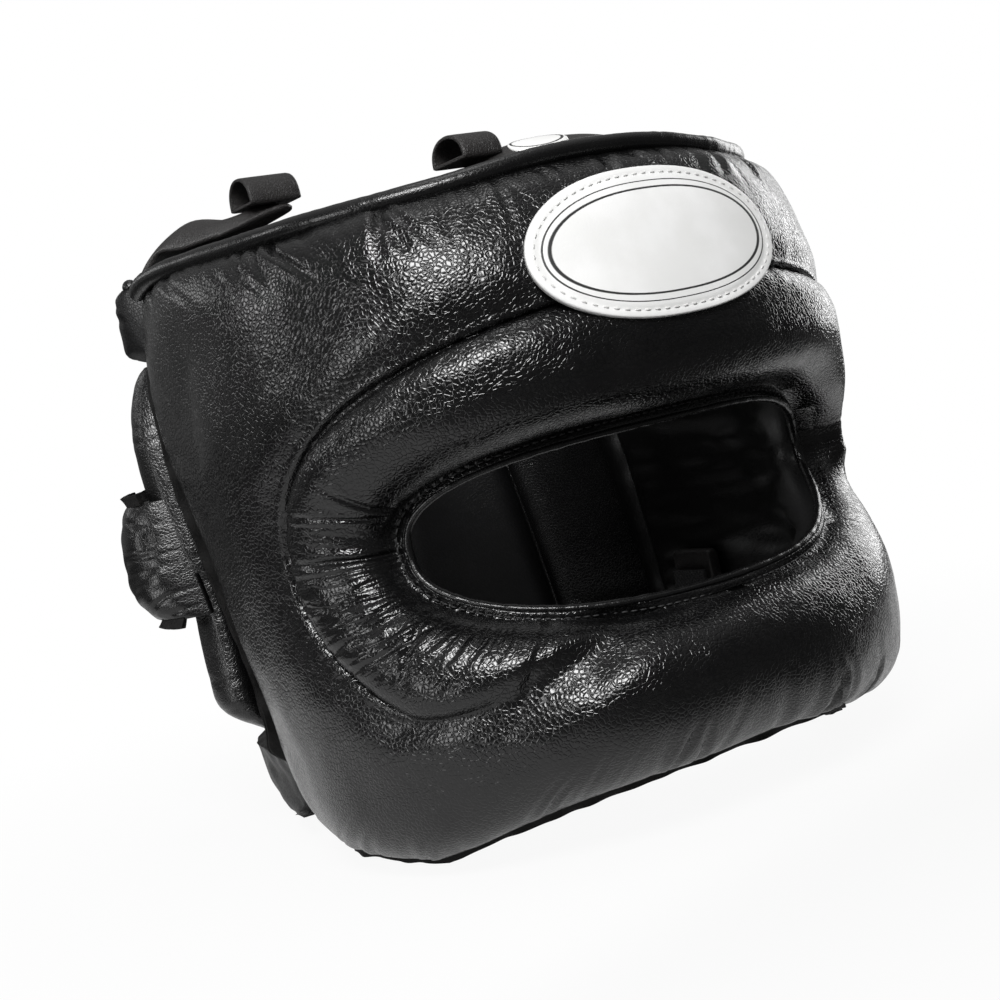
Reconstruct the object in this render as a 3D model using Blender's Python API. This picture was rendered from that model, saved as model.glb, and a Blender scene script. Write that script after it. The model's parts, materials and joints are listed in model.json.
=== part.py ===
"""Full-face boxing headgear: a padded front with an eye slot and a face bar, and two hinged rear halves.

Metres, +Z up, the front towards -Y and the wearer's left towards +X. The origin lies under the middle,
on the surface that the headgear stands on. Angles round the head start at the front and grow towards +X.
"""

import math

import bmesh
import bpy
import numpy as np
from mathutils import Matrix

# Seam surface, which wraps the head halfway through the padding
SEAM_HALF_WIDTH = 0.0930
SEAM_SWELL = 0.0058
FOREHEAD_REACH = 0.1000
BAR_REACH = 0.0150
BAR_LEVEL = 0.0630
BAR_SPREAD = 0.0440
CROWN_LEAN = 0.0102
CROWN_LEAN_FROM = 0.1740
REAR_REACH = 0.1150
SECTION_POWER = 0.84
HEAD_AXIS_Y = -0.0034

# Outline of the front
RIM_HEIGHT = 0.2216
RIM_REAR_DROP = 0.0019
RIM_DIP = 0.0055
SIDE_ANGLE = math.radians(112.0)
SIDE_LEAN = math.radians(10.0)
OUTLINE_POWER = 9.0
CHIN_LIFT = 0.0183
CHIN_HALF_ANGLE = math.radians(62.0)
EYE_HALF_ANGLE = math.radians(54.3)
EYE_LEVEL = 0.1054
EYE_RISE = 0.0267
EYE_DIP = 0.0296
EYE_DIP_AT_ENDS = 0.0249
EYE_POWER = 2.6

# Front padding, as heights from the seam surface
PAD_OUT = 0.0220
PAD_IN = 0.0090
BAR_EXTRA = 0.0030
BROW_EXTRA = 0.0075
BROW_LEVEL = 0.1480
BROW_SPREAD = 0.0300
EYE_EDGE_OUT = 0.0040
EYE_EDGE_IN = 0.0015
RIM_EDGE_OUT = 0.0040
RIM_FLARE = 0.0080
REAR_FLARE = 0.0220
FLARE_FROM = math.radians(80.0)
FLARE_TO = math.radians(124.0)
FLARE_DEPTH = 0.0400
EYE_ROLL = 0.0260
OUTLINE_ROLL = 0.0300
LINING_ROLL = 0.0140
RING_WIDTH = 0.0330
RING_EXTRA = 0.0070
GROOVE_DEPTH = 0.0065
GROOVE_HALF_WIDTH = 0.0050
LEATHER = 0.0018
CLEARANCE = 0.0004

# Edge trims
BINDING_RADIUS = 0.0022
PIPING_RADIUS = 0.0030
PIPING_OUT = 0.0028
PIPING_REACH = math.radians(43.5)
WELT_DROP = 0.0080
WELT_REACH = math.radians(42.0)
WELT_THICKNESS = 0.0024
SEAM_ALLOWANCE = 0.0040
SIDE_WELT_FROM = 0.0040
SIDE_WELT_TO = 0.0140
SIDE_WELT_MARGIN = 0.0120
HINGE_OUT = 0.0220
HINGE_LOW = 0.0200

# Rear halves
REAR_PAD_OUT = 0.0190
REAR_PAD_IN = 0.0080
BAND_EXTRA = 0.0130
BAND_CHANNEL = 0.0050
REAR_EDGE_OUT = 0.0050
REAR_EDGE_IN = 0.0010
REAR_ROLL = 0.0130
REAR_FLOOR_GAP = 0.0006
NECK_RISE = 0.0090
NECK_RUN = 0.0450
NECK_TAPER = 0.0080
BACK_GAP_ANGLE = math.radians(2.0)
EAR_ARC = 0.0500
EAR_BOTTOM = 0.0350
EAR_TOP = 0.1890
EAR_CORNER = 0.0060
GUARD_OUT = 0.0330
GUARD_LOW = 0.0180
GUARD_EDGE_OUT = 0.0060
GUARD_HOLLOW = 0.0080
GUARD_EDGE_IN = 0.0020
GUARD_ROLL = 0.0140
ROLL_LEVEL = 0.1140
ROLL_HEIGHT = 0.0460
ROLL_DEPTH = 0.0140
ROLL_FROM = 0.0060
ROLL_TO = 0.0450
ROLL_EDGE = 0.0025

# Closure at the back
CLOSURE_LEVEL = 0.1500
CLOSURE_WIDTH = 0.0500
PANEL_THICKNESS = 0.0020
STRAP_THICKNESS = 0.0030
PANEL_FROM = math.radians(9.0)
PANEL_TO = math.radians(26.0)
PATCH_FROM = math.radians(7.6)
STRAP_END = math.radians(24.0)

# Badge, crown flaps and label
BADGE_BELOW_RIM = 0.0326
BADGE_HALF_WIDTH = 0.0470
BADGE_HALF_HEIGHT = 0.0262
BADGE_THICKNESS = 0.0016
BADGE_ANGLE = math.radians(-0.5)
FLAP_THICKNESS = 0.0028
FLAP_BASE_LIFT = 0.0030
FLAP_BEND = 1.15
FRONT_FLAP_ANGLE = math.radians(-8.0)
FRONT_FLAP_HALF = math.radians(22.0)
FRONT_FLAP_REACH = 0.0300
FRONT_FLAP_RISE = 0.0050
FRONT_FLAP_STEEPNESS = 1.3
REAR_FLAP_ANGLE = math.radians(137.0)
REAR_FLAP_HALF = math.radians(12.0)
REAR_FLAP_REACH = 0.0640
LEFT_FLAP_RISE = 0.0190
RIGHT_FLAP_RISE = 0.0040
REAR_FLAP_STEEPNESS = 1.5
FRONT_LOOP_SHARE = -0.55
FRONT_LOOP_INWARD = 0.0150
REAR_LOOP_INWARD = 0.0540
LOOP_WIDTH = 0.0150
LOOP_LENGTH = 0.0210
LOOP_HEIGHT = 0.0115
LOOP_THICKNESS = 0.0024
LABEL_HALF_WIDTH = 0.0090
LABEL_HALF_DEPTH = 0.0045
LABEL_THICKNESS = 0.0008
LABEL_SHARE = 0.30
LABEL_INWARD = 0.0135

# Chin strap
CHIN_STRAP_Y = 0.0000
CHIN_STRAP_LEVEL = 0.0620
CHIN_STRAP_DROP = 0.0480
CHIN_STRAP_WIDTH = 0.0200
CHIN_STRAP_THICKNESS = 0.0025
ANCHOR_DEPTH = 0.0055
ANCHOR_HEIGHT = 0.0160
ANCHOR_LENGTH = 0.0240
SLIDER_WIRE = 0.0015

# Rows and columns of the formed surfaces
FRONT_ROWS = 56
COVER_STEPS = (0.0, 0.05, 0.14, 0.27, 0.40, 0.50, 0.60, 0.73, 0.86, 0.95, 1.0)
LINING_STEPS = (0.0, 0.06, 0.20, 0.50, 0.80, 0.94, 1.0)
PAD_STEPS = (0.0, 0.06, 0.17, 0.34, 0.50, 0.66, 0.83, 0.94, 1.0)

LEATHER_BLACK = (0.012, 0.012, 0.013, 1.0)
LINING_BLACK = (0.016, 0.016, 0.017, 1.0)
EDGE_BLACK = (0.008, 0.008, 0.008, 1.0)
FOAM_GREY = (0.10, 0.10, 0.105, 1.0)
BADGE_WHITE = (0.80, 0.80, 0.79, 1.0)
NYLON_BLACK = (0.010, 0.010, 0.011, 1.0)
STEEL = (0.56, 0.57, 0.58, 1.0)


def clear_scene():
    for obj in list(bpy.data.objects):
        bpy.data.objects.remove(obj, do_unlink=True)


def material(name, colour, roughness, metallic=0.0):
    made = bpy.data.materials.get(name) or bpy.data.materials.new(name)
    made.use_nodes = True
    shader = made.node_tree.nodes["Principled BSDF"]
    shader.inputs["Base Color"].default_value = colour
    shader.inputs["Roughness"].default_value = roughness
    shader.inputs["Metallic"].default_value = metallic
    made.diffuse_color = colour
    return made


def signed_power(value, power):
    return np.sign(value) * np.abs(value) ** power


def smooth_step(value):
    held = np.clip(value, 0.0, 1.0)
    return held * held * (3.0 - 2.0 * held)


def roll_off(distance, radius):
    """Height share of a padded edge that rises over a radius, from 0 at the seam to 1 on the crown."""
    near = np.clip(1.0 - np.asarray(distance) / radius, 0.0, 1.0)
    return (1.0 - near**2.4) ** (1.0 / 2.4)


def half_width(z):
    return SEAM_HALF_WIDTH + SEAM_SWELL * np.sin(math.pi * np.clip(z / RIM_HEIGHT, 0.0, 1.0))


def front_reach(z):
    bar = BAR_REACH * np.exp(-(((z - BAR_LEVEL) / BAR_SPREAD) ** 2))
    lean = np.maximum(z - CROWN_LEAN_FROM, 0.0) / (RIM_HEIGHT - CROWN_LEAN_FROM)
    return FOREHEAD_REACH + bar - CROWN_LEAN * lean**2


def seam_xy(angle, z):
    """The seam surface: at each height, a rounded-off oval whose front half is deeper at the face bar."""
    reach = np.where(np.cos(angle) > 0.0, front_reach(z), REAR_REACH)
    x = half_width(z) * signed_power(np.sin(angle), SECTION_POWER)
    y = HEAD_AXIS_Y - reach * signed_power(np.cos(angle), SECTION_POWER)
    return x, y


def padded_point(angle, z, height):
    """Points at a height outside the seam surface, along its level normal."""
    angle, z, height = np.broadcast_arrays(np.asarray(angle, float), z, height)
    step = math.radians(0.2)
    x0, y0 = seam_xy(angle - step, z)
    x1, y1 = seam_xy(angle + step, z)
    length = np.hypot(x1 - x0, y1 - y0)
    x, y = seam_xy(angle, z)
    return np.stack([x + (y1 - y0) / length * height, y - (x1 - x0) / length * height, z], axis=-1)


def outline(theta, power):
    """Unit outline between an oval and a rectangle, read at a polar angle."""
    size = (np.abs(np.cos(theta)) ** power + np.abs(np.sin(theta)) ** power) ** (-1.0 / power)
    return np.cos(theta) * size, np.sin(theta) * size


def rim_level(angle):
    """Height of the rim: it dips over the temples and ends a little lower at the rear."""
    share = np.clip(np.abs(angle) / SIDE_ANGLE, 0.0, 1.0)
    return RIM_HEIGHT - RIM_DIP * (1.0 - np.cos(math.pi * share) ** 4) - RIM_REAR_DROP * share**1.5


def rim_flare(angle, z):
    """How far the padding's upper edge stands out from the seam surface, most of all at the rear."""
    round_back = smooth_step((np.abs(angle) - FLARE_FROM) / (FLARE_TO - FLARE_FROM))
    near_rim = smooth_step((z - rim_level(angle)) / FLARE_DEPTH + 1.0)
    return (RIM_FLARE + (REAR_FLARE - RIM_FLARE) * round_back) * near_rim


def welt_level(angle):
    return CHIN_LIFT * (1.0 - np.clip(np.abs(angle) / CHIN_HALF_ANGLE, 0.0, 1.0) ** 2)


def eye_edge(theta):
    across, up = outline(theta, EYE_POWER)
    dip = EYE_DIP + (EYE_DIP_AT_ENDS - EYE_DIP) * np.abs(across) ** 1.5
    return EYE_HALF_ANGLE * across, EYE_LEVEL + np.where(up > 0.0, EYE_RISE, dip) * up


def front_edge(theta):
    across, up = outline(theta, OUTLINE_POWER)
    angle = across * (SIDE_ANGLE + SIDE_LEAN * up)
    share = (up + 1.0) / 2.0
    bottom = welt_level(angle) + WELT_DROP
    return angle, bottom + (rim_level(angle) - bottom) * share


def seam_angle(z):
    """Angle of the seam between the front and a rear half, at a height."""
    share = (z - WELT_DROP) / (RIM_HEIGHT - RIM_REAR_DROP - WELT_DROP)
    return SIDE_ANGLE + SIDE_LEAN * np.clip(2.0 * share - 1.0, -1.0, 1.0)


def section_length(theta):
    """Width of the front padding from the eye slot to the outline."""
    eye_angle, eye_z = eye_edge(theta)
    edge_angle, edge_z = front_edge(theta)
    return np.hypot((edge_angle - eye_angle) * SEAM_HALF_WIDTH, edge_z - eye_z)


def front_position(theta, along):
    eye_angle, eye_z = eye_edge(theta)
    edge_angle, edge_z = front_edge(theta)
    return eye_angle + (edge_angle - eye_angle) * along, eye_z + (edge_z - eye_z) * along


def groove_share(theta):
    width = RING_WIDTH + RING_EXTRA * np.sin(theta) ** 2
    return np.minimum(width / section_length(theta), 0.6)


def front_heights(theta, along, place, groove_depth=GROOVE_DEPTH):
    """Heights of the outer skin and of the lining, with the ring round the eye slot sewn off by a groove.

    Along is the share across the padding, and place the share where the layer's point lies.
    """
    length = section_length(theta)
    angle, z = front_position(theta, place)
    from_eye = along * length
    from_edge = (1.0 - along) * length
    crown = roll_off(from_eye, EYE_ROLL) * roll_off(from_edge, OUTLINE_ROLL)
    facing = np.clip(np.cos(angle), 0.0, 1.0)
    bar = BAR_EXTRA * np.exp(-(((z - BAR_LEVEL) / BAR_SPREAD) ** 2)) * facing
    brow = BROW_EXTRA * np.exp(-(((z - BROW_LEVEL) / BROW_SPREAD) ** 2)) * np.sqrt(facing)
    flare = rim_flare(angle, z) * place
    edge = EYE_EDGE_OUT + (RIM_EDGE_OUT - EYE_EDGE_OUT) * along + flare
    fade = 1.0 - smooth_step((-np.sin(theta) - 0.7) / 0.25)
    sewn = groove_depth * fade * np.exp(-(((along - groove_share(theta)) * length / GROOVE_HALF_WIDTH) ** 2))
    outer = edge + (PAD_OUT + bar + brow - edge) * crown - sewn
    inward = roll_off(from_eye, LINING_ROLL) * roll_off(from_edge, LINING_ROLL)
    inner_edge = EYE_EDGE_IN + flare
    lining = inner_edge - (inner_edge + PAD_IN) * inward
    return outer, lining


def front_layer(theta, along, side, inset):
    """Points of a layer of the front: side 1 is the skin, side -1 the lining, inset towards the middle."""
    place = 0.5 + (along - 0.5) * (1.0 - 2.0 * inset / section_length(theta))
    outer, lining = front_heights(theta, along, place)
    share = 1.0 - inset / ((PAD_OUT + PAD_IN) / 2.0)
    height = (outer + lining) / 2.0 + side * (outer - lining) / 2.0 * share
    angle, z = front_position(theta, place)
    return padded_point(angle, z, height)


def front_rows():
    """Polar angles that space the rows of the front evenly, starting over the forehead."""
    dense = np.linspace(0.0, 2.0 * math.pi, 2001) + math.pi / 2.0
    angle, z = front_position(dense, 0.6)
    steps = np.hypot(np.diff(angle) * SEAM_HALF_WIDTH, np.diff(z))
    run = np.concatenate([[0.0], np.cumsum(steps)])
    return np.interp(np.linspace(0.0, run[-1], FRONT_ROWS, endpoint=False), run, dense)[:, None]


def cover_columns(theta):
    """Shares across the padding with the groove on the middle column."""
    steps = np.array(COVER_STEPS)[None, :]
    groove = groove_share(theta)
    return np.where(steps <= 0.5, 2.0 * steps * groove, groove + (2.0 * steps - 1.0) * (1.0 - groove))


def finish_object(name, mesh, made_of):
    shell = bmesh.new()
    shell.from_mesh(mesh)
    bmesh.ops.recalc_face_normals(shell, faces=shell.faces)
    shell.to_mesh(mesh)
    shell.free()
    mesh.shade_smooth()
    mesh.set_sharp_from_angle(angle=math.radians(40.0))
    mesh.materials.append(made_of)
    obj = bpy.data.objects.new(name, mesh)
    bpy.context.scene.collection.objects.link(obj)
    return obj


def loft(name, loops, made_of, ring=False):
    """A solid through a row of loops. The first half of each loop faces the second, so caps are strips.

    Both halves are cut into triangles along like diagonals, so that nested layers stay parallel,
    and the first rows mirror the last.
    """
    rows, columns = loops.shape[:2]
    index = np.arange(rows * columns).reshape(rows, columns)
    ahead = np.roll(index, -1, axis=0)
    beside = np.roll(index, -1, axis=1)
    across = np.roll(ahead, -1, axis=1)
    facing = (np.arange(columns) < columns // 2)[None, :] == (np.arange(rows) >= rows // 2)[:, None]
    split = (index, beside, across, index, across, ahead)
    turned = (index, beside, ahead, beside, across, ahead)
    corners = [np.where(facing, one, other) for one, other in zip(split, turned)]
    faces = np.stack(corners, axis=-1)
    faces = (faces if ring else faces[:-1]).reshape(-1, 3).tolist()
    if not ring:
        for row in (index[0], index[-1]):
            for column in range(columns // 2 - 1):
                other = columns - 1 - column
                faces.append([row[column], row[column + 1], row[other - 1], row[other]])
    mesh = bpy.data.meshes.new(name)
    mesh.from_pydata(loops.reshape(-1, 3).tolist(), [], faces)
    return finish_object(name, mesh, made_of)


def facing_loops(outer, inner):
    return np.concatenate([outer, inner[:, ::-1]], axis=1)


def tube(name, points, radius, made_of, ring=False):
    """A round trim along a path."""
    curve = bpy.data.curves.new(name, "CURVE")
    curve.dimensions = "3D"
    curve.bevel_depth = radius
    curve.bevel_resolution = 2
    curve.use_fill_caps = True
    spline = curve.splines.new("POLY")
    spline.points.add(len(points) - 1)
    for place, point in zip(spline.points, points):
        place.co = (*point, 1.0)
    spline.use_cyclic_u = ring
    curve.materials.append(made_of)
    obj = bpy.data.objects.new(name, curve)
    bpy.context.scene.collection.objects.link(obj)
    return obj


def mirrored(points, side):
    """Left-hand points (side -1) as they are, or carried over to the right."""
    return points * np.array([-side, 1.0, 1.0])


def hinge_empty(name, place):
    empty = bpy.data.objects.new(name, None)
    empty.location = place
    bpy.context.scene.collection.objects.link(empty)
    return empty


def carry(obj, empty):
    """Hangs an object on an empty and leaves it where it is."""
    obj.parent = empty
    obj.matrix_parent_inverse.translation = -empty.location


def make_front(parts):
    theta = front_rows()
    skin_at = cover_columns(theta)
    lining_at = np.broadcast_to(np.array(LINING_STEPS)[None, :], (FRONT_ROWS, len(LINING_STEPS)))
    within = LEATHER + 4.5 * CLEARANCE
    cover = facing_loops(front_layer(theta, skin_at, 1, 0.0), front_layer(theta, skin_at, 1, LEATHER))
    foam = facing_loops(front_layer(theta, skin_at, 1, within), front_layer(theta, lining_at, -1, within))
    lining = facing_loops(front_layer(theta, lining_at, -1, 0.0), front_layer(theta, lining_at, -1, LEATHER))
    parts["front_cover"] = loft("front_cover", cover, material("cover leather", LEATHER_BLACK, 0.38), True)
    parts["front_foam"] = loft("front_foam", foam, material("foam", FOAM_GREY, 0.9), True)
    parts["front_lining"] = loft("front_lining", lining, material("lining", LINING_BLACK, 0.5), True)


def make_front_trims(parts):
    theta = front_rows()[:, 0]
    length = section_length(theta)
    trim = material("trim leather", LEATHER_BLACK, 0.34)
    raw = material("raw edge leather", EDGE_BLACK, 0.6)

    angle, z = front_position(theta, -(BINDING_RADIUS + CLEARANCE) / length)
    path = padded_point(angle, z, (EYE_EDGE_OUT + EYE_EDGE_IN) / 2.0)
    parts["eye_binding"] = tube("eye_binding", path, BINDING_RADIUS, trim, True)

    top = math.pi / 2.0 + np.linspace(-PIPING_REACH, PIPING_REACH, 41)
    angle, z = front_edge(top)
    run = np.gradient(angle) * SEAM_HALF_WIDTH
    climb = np.gradient(z)
    beyond = (PIPING_RADIUS + CLEARANCE) / np.hypot(run, climb)
    angle = angle + beyond * climb / SEAM_HALF_WIDTH
    z = z - beyond * run
    path = padded_point(angle, z, PIPING_OUT + rim_flare(angle, z))
    parts["rim_piping"] = tube("rim_piping", path, PIPING_RADIUS, trim)

    under = math.pi * 1.5 + np.linspace(-WELT_REACH, WELT_REACH, 41)
    angle, edge = front_edge(under)
    bottom = welt_level(angle)
    middle = (RIM_EDGE_OUT + EYE_EDGE_IN) / 2.0
    high = edge - CLEARANCE
    out = middle + WELT_THICKNESS / 2.0
    inside = middle - WELT_THICKNESS / 2.0
    outer = np.stack([padded_point(angle, bottom, out), padded_point(angle, high, out)], axis=1)
    inner = np.stack([padded_point(angle, bottom, inside), padded_point(angle, high, inside)], axis=1)
    parts["bottom_welt"] = loft("bottom_welt", facing_loops(outer, inner), raw)

    low = 2.0 * WELT_DROP + SIDE_WELT_MARGIN
    z = np.linspace(low, RIM_HEIGHT - RIM_REAR_DROP - 2.0 * SIDE_WELT_MARGIN, 15)
    middle = seam_angle(z) + SEAM_ALLOWANCE / 2.0 / SEAM_HALF_WIDTH
    half = WELT_THICKNESS / 2.0 / SEAM_HALF_WIDTH
    heights = np.array([SIDE_WELT_FROM, SIDE_WELT_TO])[None, :]
    front = padded_point(-(middle - half)[:, None], z[:, None], heights)
    rear = padded_point(-(middle + half)[:, None], z[:, None], heights)
    for name, side in (("left", -1), ("right", 1)):
        loops = mirrored(facing_loops(front, rear), side)
        parts["side_welt_" + name] = loft("side_welt_" + name, loops, raw)


def forehead_height(angle, z):
    """Outer height of the forehead at a place, found by halving the polar angle range over the slot."""
    low = np.full(np.shape(angle), math.radians(20.0))
    high = np.full(np.shape(angle), math.radians(160.0))
    for _ in range(40):
        middle = (low + high) / 2.0
        eye_angle, eye_z = eye_edge(middle)
        edge_angle, edge_z = front_edge(middle)
        turn = (edge_angle - eye_angle) * (z - eye_z) - (edge_z - eye_z) * (angle - eye_angle)
        high = np.where(turn < 0.0, middle, high)
        low = np.where(turn < 0.0, low, middle)
    eye_z = eye_edge(middle)[1]
    along = (z - eye_z) / (front_edge(middle)[1] - eye_z)
    return front_heights(middle, along, along, groove_depth=0.0)[0]


def make_badge(parts):
    """Plain oval badge that bends round the forehead."""
    rows = np.linspace(-1.0, 1.0, 13) * math.radians(86.0)
    columns = np.linspace(-1.0, 1.0, 11)[None, :]
    arc = FOREHEAD_REACH + PAD_OUT
    angle = BADGE_ANGLE + BADGE_HALF_WIDTH / arc * np.cos(rows)[:, None] * columns
    level = RIM_HEIGHT - BADGE_BELOW_RIM
    z = level + BADGE_HALF_HEIGHT * np.sin(rows)[:, None] + 0.0 * columns
    base = forehead_height(angle, z) + CLEARANCE
    loops = facing_loops(padded_point(angle, z, base + BADGE_THICKNESS), padded_point(angle, z, base))
    parts["forehead_badge"] = loft("forehead_badge", loops, material("badge", BADGE_WHITE, 0.45))


def ear_notch(z):
    """1 beside the ear guard and 0 above and below it."""
    rise = smooth_step((z - EAR_BOTTOM + EAR_CORNER / 2.0) / EAR_CORNER)
    return rise * smooth_step((EAR_TOP + EAR_CORNER / 2.0 - z) / EAR_CORNER)


def wing_front(z):
    return seam_angle(z) + SEAM_ALLOWANCE / SEAM_HALF_WIDTH


def rear_heights(angle, z):
    """Skin and lining heights of a rear half, drawn in at its edges and along the channel over the ear."""
    front = wing_front(z) + EAR_ARC / SEAM_HALF_WIDTH * ear_notch(z)
    top = RIM_HEIGHT - RIM_REAR_DROP
    crown = roll_off((angle - front) * SEAM_HALF_WIDTH, REAR_ROLL)
    crown = crown * roll_off((math.pi - BACK_GAP_ANGLE - angle) * REAR_REACH, REAR_ROLL)
    crown = crown * roll_off(top - z, REAR_ROLL) * roll_off(z - REAR_FLOOR_GAP, REAR_ROLL)
    channel = BAND_CHANNEL * np.exp(-(((z - EAR_TOP) / GROOVE_HALF_WIDTH) ** 2))
    band = BAND_EXTRA * smooth_step((z - EAR_TOP) / EAR_CORNER)
    neck = NECK_TAPER * (1.0 - smooth_step(z / EAR_BOTTOM))
    flare = rim_flare(angle, z)
    edge = REAR_EDGE_OUT + flare
    inner_edge = REAR_EDGE_IN + flare
    outer = edge + (REAR_PAD_OUT + band - neck - channel - edge) * crown
    lining = inner_edge - (inner_edge + REAR_PAD_IN) * crown
    return outer, lining


def rear_pad_loops():
    top = RIM_HEIGHT - RIM_REAR_DROP
    near = np.array([0.0, 0.25, 0.6, 1.0]) * REAR_ROLL
    band = np.array([-0.5, 0.0, 0.5]) * EAR_CORNER
    between = np.linspace(EAR_BOTTOM, EAR_TOP, 6)[1:-1]
    levels = [REAR_FLOOR_GAP + near, EAR_BOTTOM + band, between, EAR_TOP + band, top - near[::-1]]
    z = np.concatenate(levels)[:, None]
    rise = NECK_RISE * np.clip(1.0 - z / EAR_BOTTOM, 0.0, 1.0)
    front = wing_front(z + rise) + EAR_ARC / SEAM_HALF_WIDTH * ear_notch(z)
    angle = front + (math.pi - BACK_GAP_ANGLE - front) * np.array(PAD_STEPS)[None, :]
    outer, lining = rear_heights(angle, z + 0.0 * angle)
    level = z + rise * (1.0 - smooth_step((angle - front) * SEAM_HALF_WIDTH / NECK_RUN))
    return facing_loops(padded_point(-angle, level, outer), padded_point(-angle, level, lining))


def guard_outer(arc, z):
    """Outer height of the ear guard at an arc length behind the seam."""
    crown = roll_off(arc, GUARD_ROLL) * roll_off(EAR_ARC - CLEARANCE - arc, GUARD_ROLL)
    crown = crown * roll_off(z - EAR_BOTTOM - EAR_CORNER, GUARD_ROLL)
    crown = crown * roll_off(EAR_TOP - EAR_CORNER - z, GUARD_ROLL)
    full = GUARD_LOW + (GUARD_OUT - GUARD_LOW) * smooth_step((z - EAR_BOTTOM) / (ROLL_LEVEL - EAR_BOTTOM))
    return GUARD_EDGE_OUT + (full - GUARD_EDGE_OUT) * crown, crown


def ear_guard_loops():
    near = np.array([0.0, 0.25, 0.6, 1.0]) * GUARD_ROLL
    low = EAR_BOTTOM + EAR_CORNER
    high = EAR_TOP - EAR_CORNER
    middle = np.linspace(low, high, 7)[2:-2]
    z = np.concatenate([low + near, middle, high - near[::-1]])[:, None]
    arc = (EAR_ARC - CLEARANCE) * np.array(PAD_STEPS)[None, :]
    outer, crown = guard_outer(arc, z)
    inner = GUARD_EDGE_IN + (GUARD_HOLLOW - GUARD_EDGE_IN) * crown
    angle = -(wing_front(z) + arc / SEAM_HALF_WIDTH)
    return facing_loops(padded_point(angle, z, outer), padded_point(angle, z, inner))


def ear_roll_loops():
    """Short bolster sewn across the ear guard."""
    share = np.array([0.0, 0.05, 0.15, 0.32, 0.5, 0.68, 0.85, 0.95, 1.0])
    z = (ROLL_LEVEL + ROLL_HEIGHT * (share - 0.5))[:, None]
    arc = (ROLL_FROM + (ROLL_TO - ROLL_FROM) * share)[None, :]
    crown = roll_off((share * ROLL_HEIGHT)[:, None], ROLL_HEIGHT / 2.0)
    crown = crown * roll_off(((1.0 - share) * ROLL_HEIGHT)[:, None], ROLL_HEIGHT / 2.0)
    crown = crown * roll_off(arc - ROLL_FROM, ROLL_DEPTH) * roll_off(ROLL_TO - arc, ROLL_DEPTH)
    base = guard_outer(arc, z)[0] + 2.0 * CLEARANCE
    top = base + ROLL_EDGE + (ROLL_DEPTH - ROLL_EDGE) * crown
    angle = -(wing_front(z) + arc / SEAM_HALF_WIDTH)
    return facing_loops(padded_point(angle, z, top), padded_point(angle, z, base))


def make_rear_halves(parts, hinges):
    pad_leather = material("rear leather", LEATHER_BLACK, 0.42)
    roll_leather = material("ear roll leather", LEATHER_BLACK, 0.34)
    trim = material("trim leather", LEATHER_BLACK, 0.34)
    top = RIM_HEIGHT - RIM_REAR_DROP
    start = wing_front(top) + PIPING_RADIUS / SEAM_HALF_WIDTH
    angle = np.linspace(start, math.pi - 2.0 * BACK_GAP_ANGLE, 16)
    level = top + PIPING_RADIUS + CLEARANCE
    piping = padded_point(-angle, level, PIPING_OUT + rim_flare(angle, level))
    for name, side in (("left", -1), ("right", 1)):
        made = {
            "rear_pad_": loft("rear_pad_" + name, mirrored(rear_pad_loops(), side), pad_leather),
            "ear_guard_": loft("ear_guard_" + name, mirrored(ear_guard_loops(), side), pad_leather),
            "ear_roll_": loft("ear_roll_" + name, mirrored(ear_roll_loops(), side), roll_leather),
            "rear_piping_": tube("rear_piping_" + name, mirrored(piping, side), PIPING_RADIUS, trim),
        }
        for stem, obj in made.items():
            parts[stem + name] = obj
            carry(obj, hinges["wing_" + name])


def band_loops(turns, z, low, high):
    """Curved band on the back: turns are angles from the back centre, growing towards +X."""
    angle = (math.pi - np.asarray(turns))[None, :]
    z = np.asarray(z)[:, None]
    return facing_loops(padded_point(angle, z, high), padded_point(angle, z, low))


def closure_heights():
    """Lower and upper heights of the loop panel, then of the strap that lies on it."""
    panel_low = REAR_PAD_OUT + 2.0 * CLEARANCE
    panel_high = panel_low + PANEL_THICKNESS
    strap_low = panel_high + CLEARANCE
    return panel_low, panel_high, strap_low, strap_low + STRAP_THICKNESS


def strap_root():
    """Angle from the back centre to the fold where the strap leaves its patch."""
    return PATCH_FROM - 1.5 * CLEARANCE / REAR_REACH


def make_closure(parts, hinges):
    nylon = material("closure tape", NYLON_BLACK, 0.85)
    strap_leather = material("strap leather", LEATHER_BLACK, 0.36)
    z = CLOSURE_LEVEL + np.array([-0.5, -0.25, 0.0, 0.25, 0.5]) * CLOSURE_WIDTH
    panel_low, panel_high, strap_low, strap_high = closure_heights()
    panel = band_loops(np.linspace(PANEL_FROM, PANEL_TO, 8), z, panel_low, panel_high)
    patch = band_loops(-np.linspace(PATCH_FROM, PANEL_TO, 8), z, panel_low, strap_high)
    strap = band_loops(np.linspace(-strap_root(), STRAP_END, 14), z, strap_low, strap_high)
    parts["loop_panel"] = loft("loop_panel", panel, nylon)
    parts["strap_patch"] = loft("strap_patch", patch, strap_leather)
    parts["closure_strap"] = loft("closure_strap", strap, strap_leather)
    carry(parts["loop_panel"], hinges["wing_right"])
    carry(parts["strap_patch"], hinges["wing_left"])
    carry(parts["closure_strap"], hinges["closure_strap"])


def flap_point(angle, inward, lift):
    """Points inwards of the rim piping and above the rim."""
    rim = rim_level(angle)
    beside_piping = PIPING_OUT + rim_flare(angle, rim) - PIPING_RADIUS - 2.0 * CLEARANCE
    return padded_point(angle, rim + FLAP_BASE_LIFT + lift, beside_piping - inward)


def flap_lift(along, steepness):
    return np.sin(math.pi / 2.0 * np.clip(along * steepness, 0.0, 1.0))


def flap_width(row):
    """Reach of a flap across its width, as a share: a tongue with rounded shoulders."""
    return np.sqrt(1.0 - 0.7 * np.asarray(row) ** 4)


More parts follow.
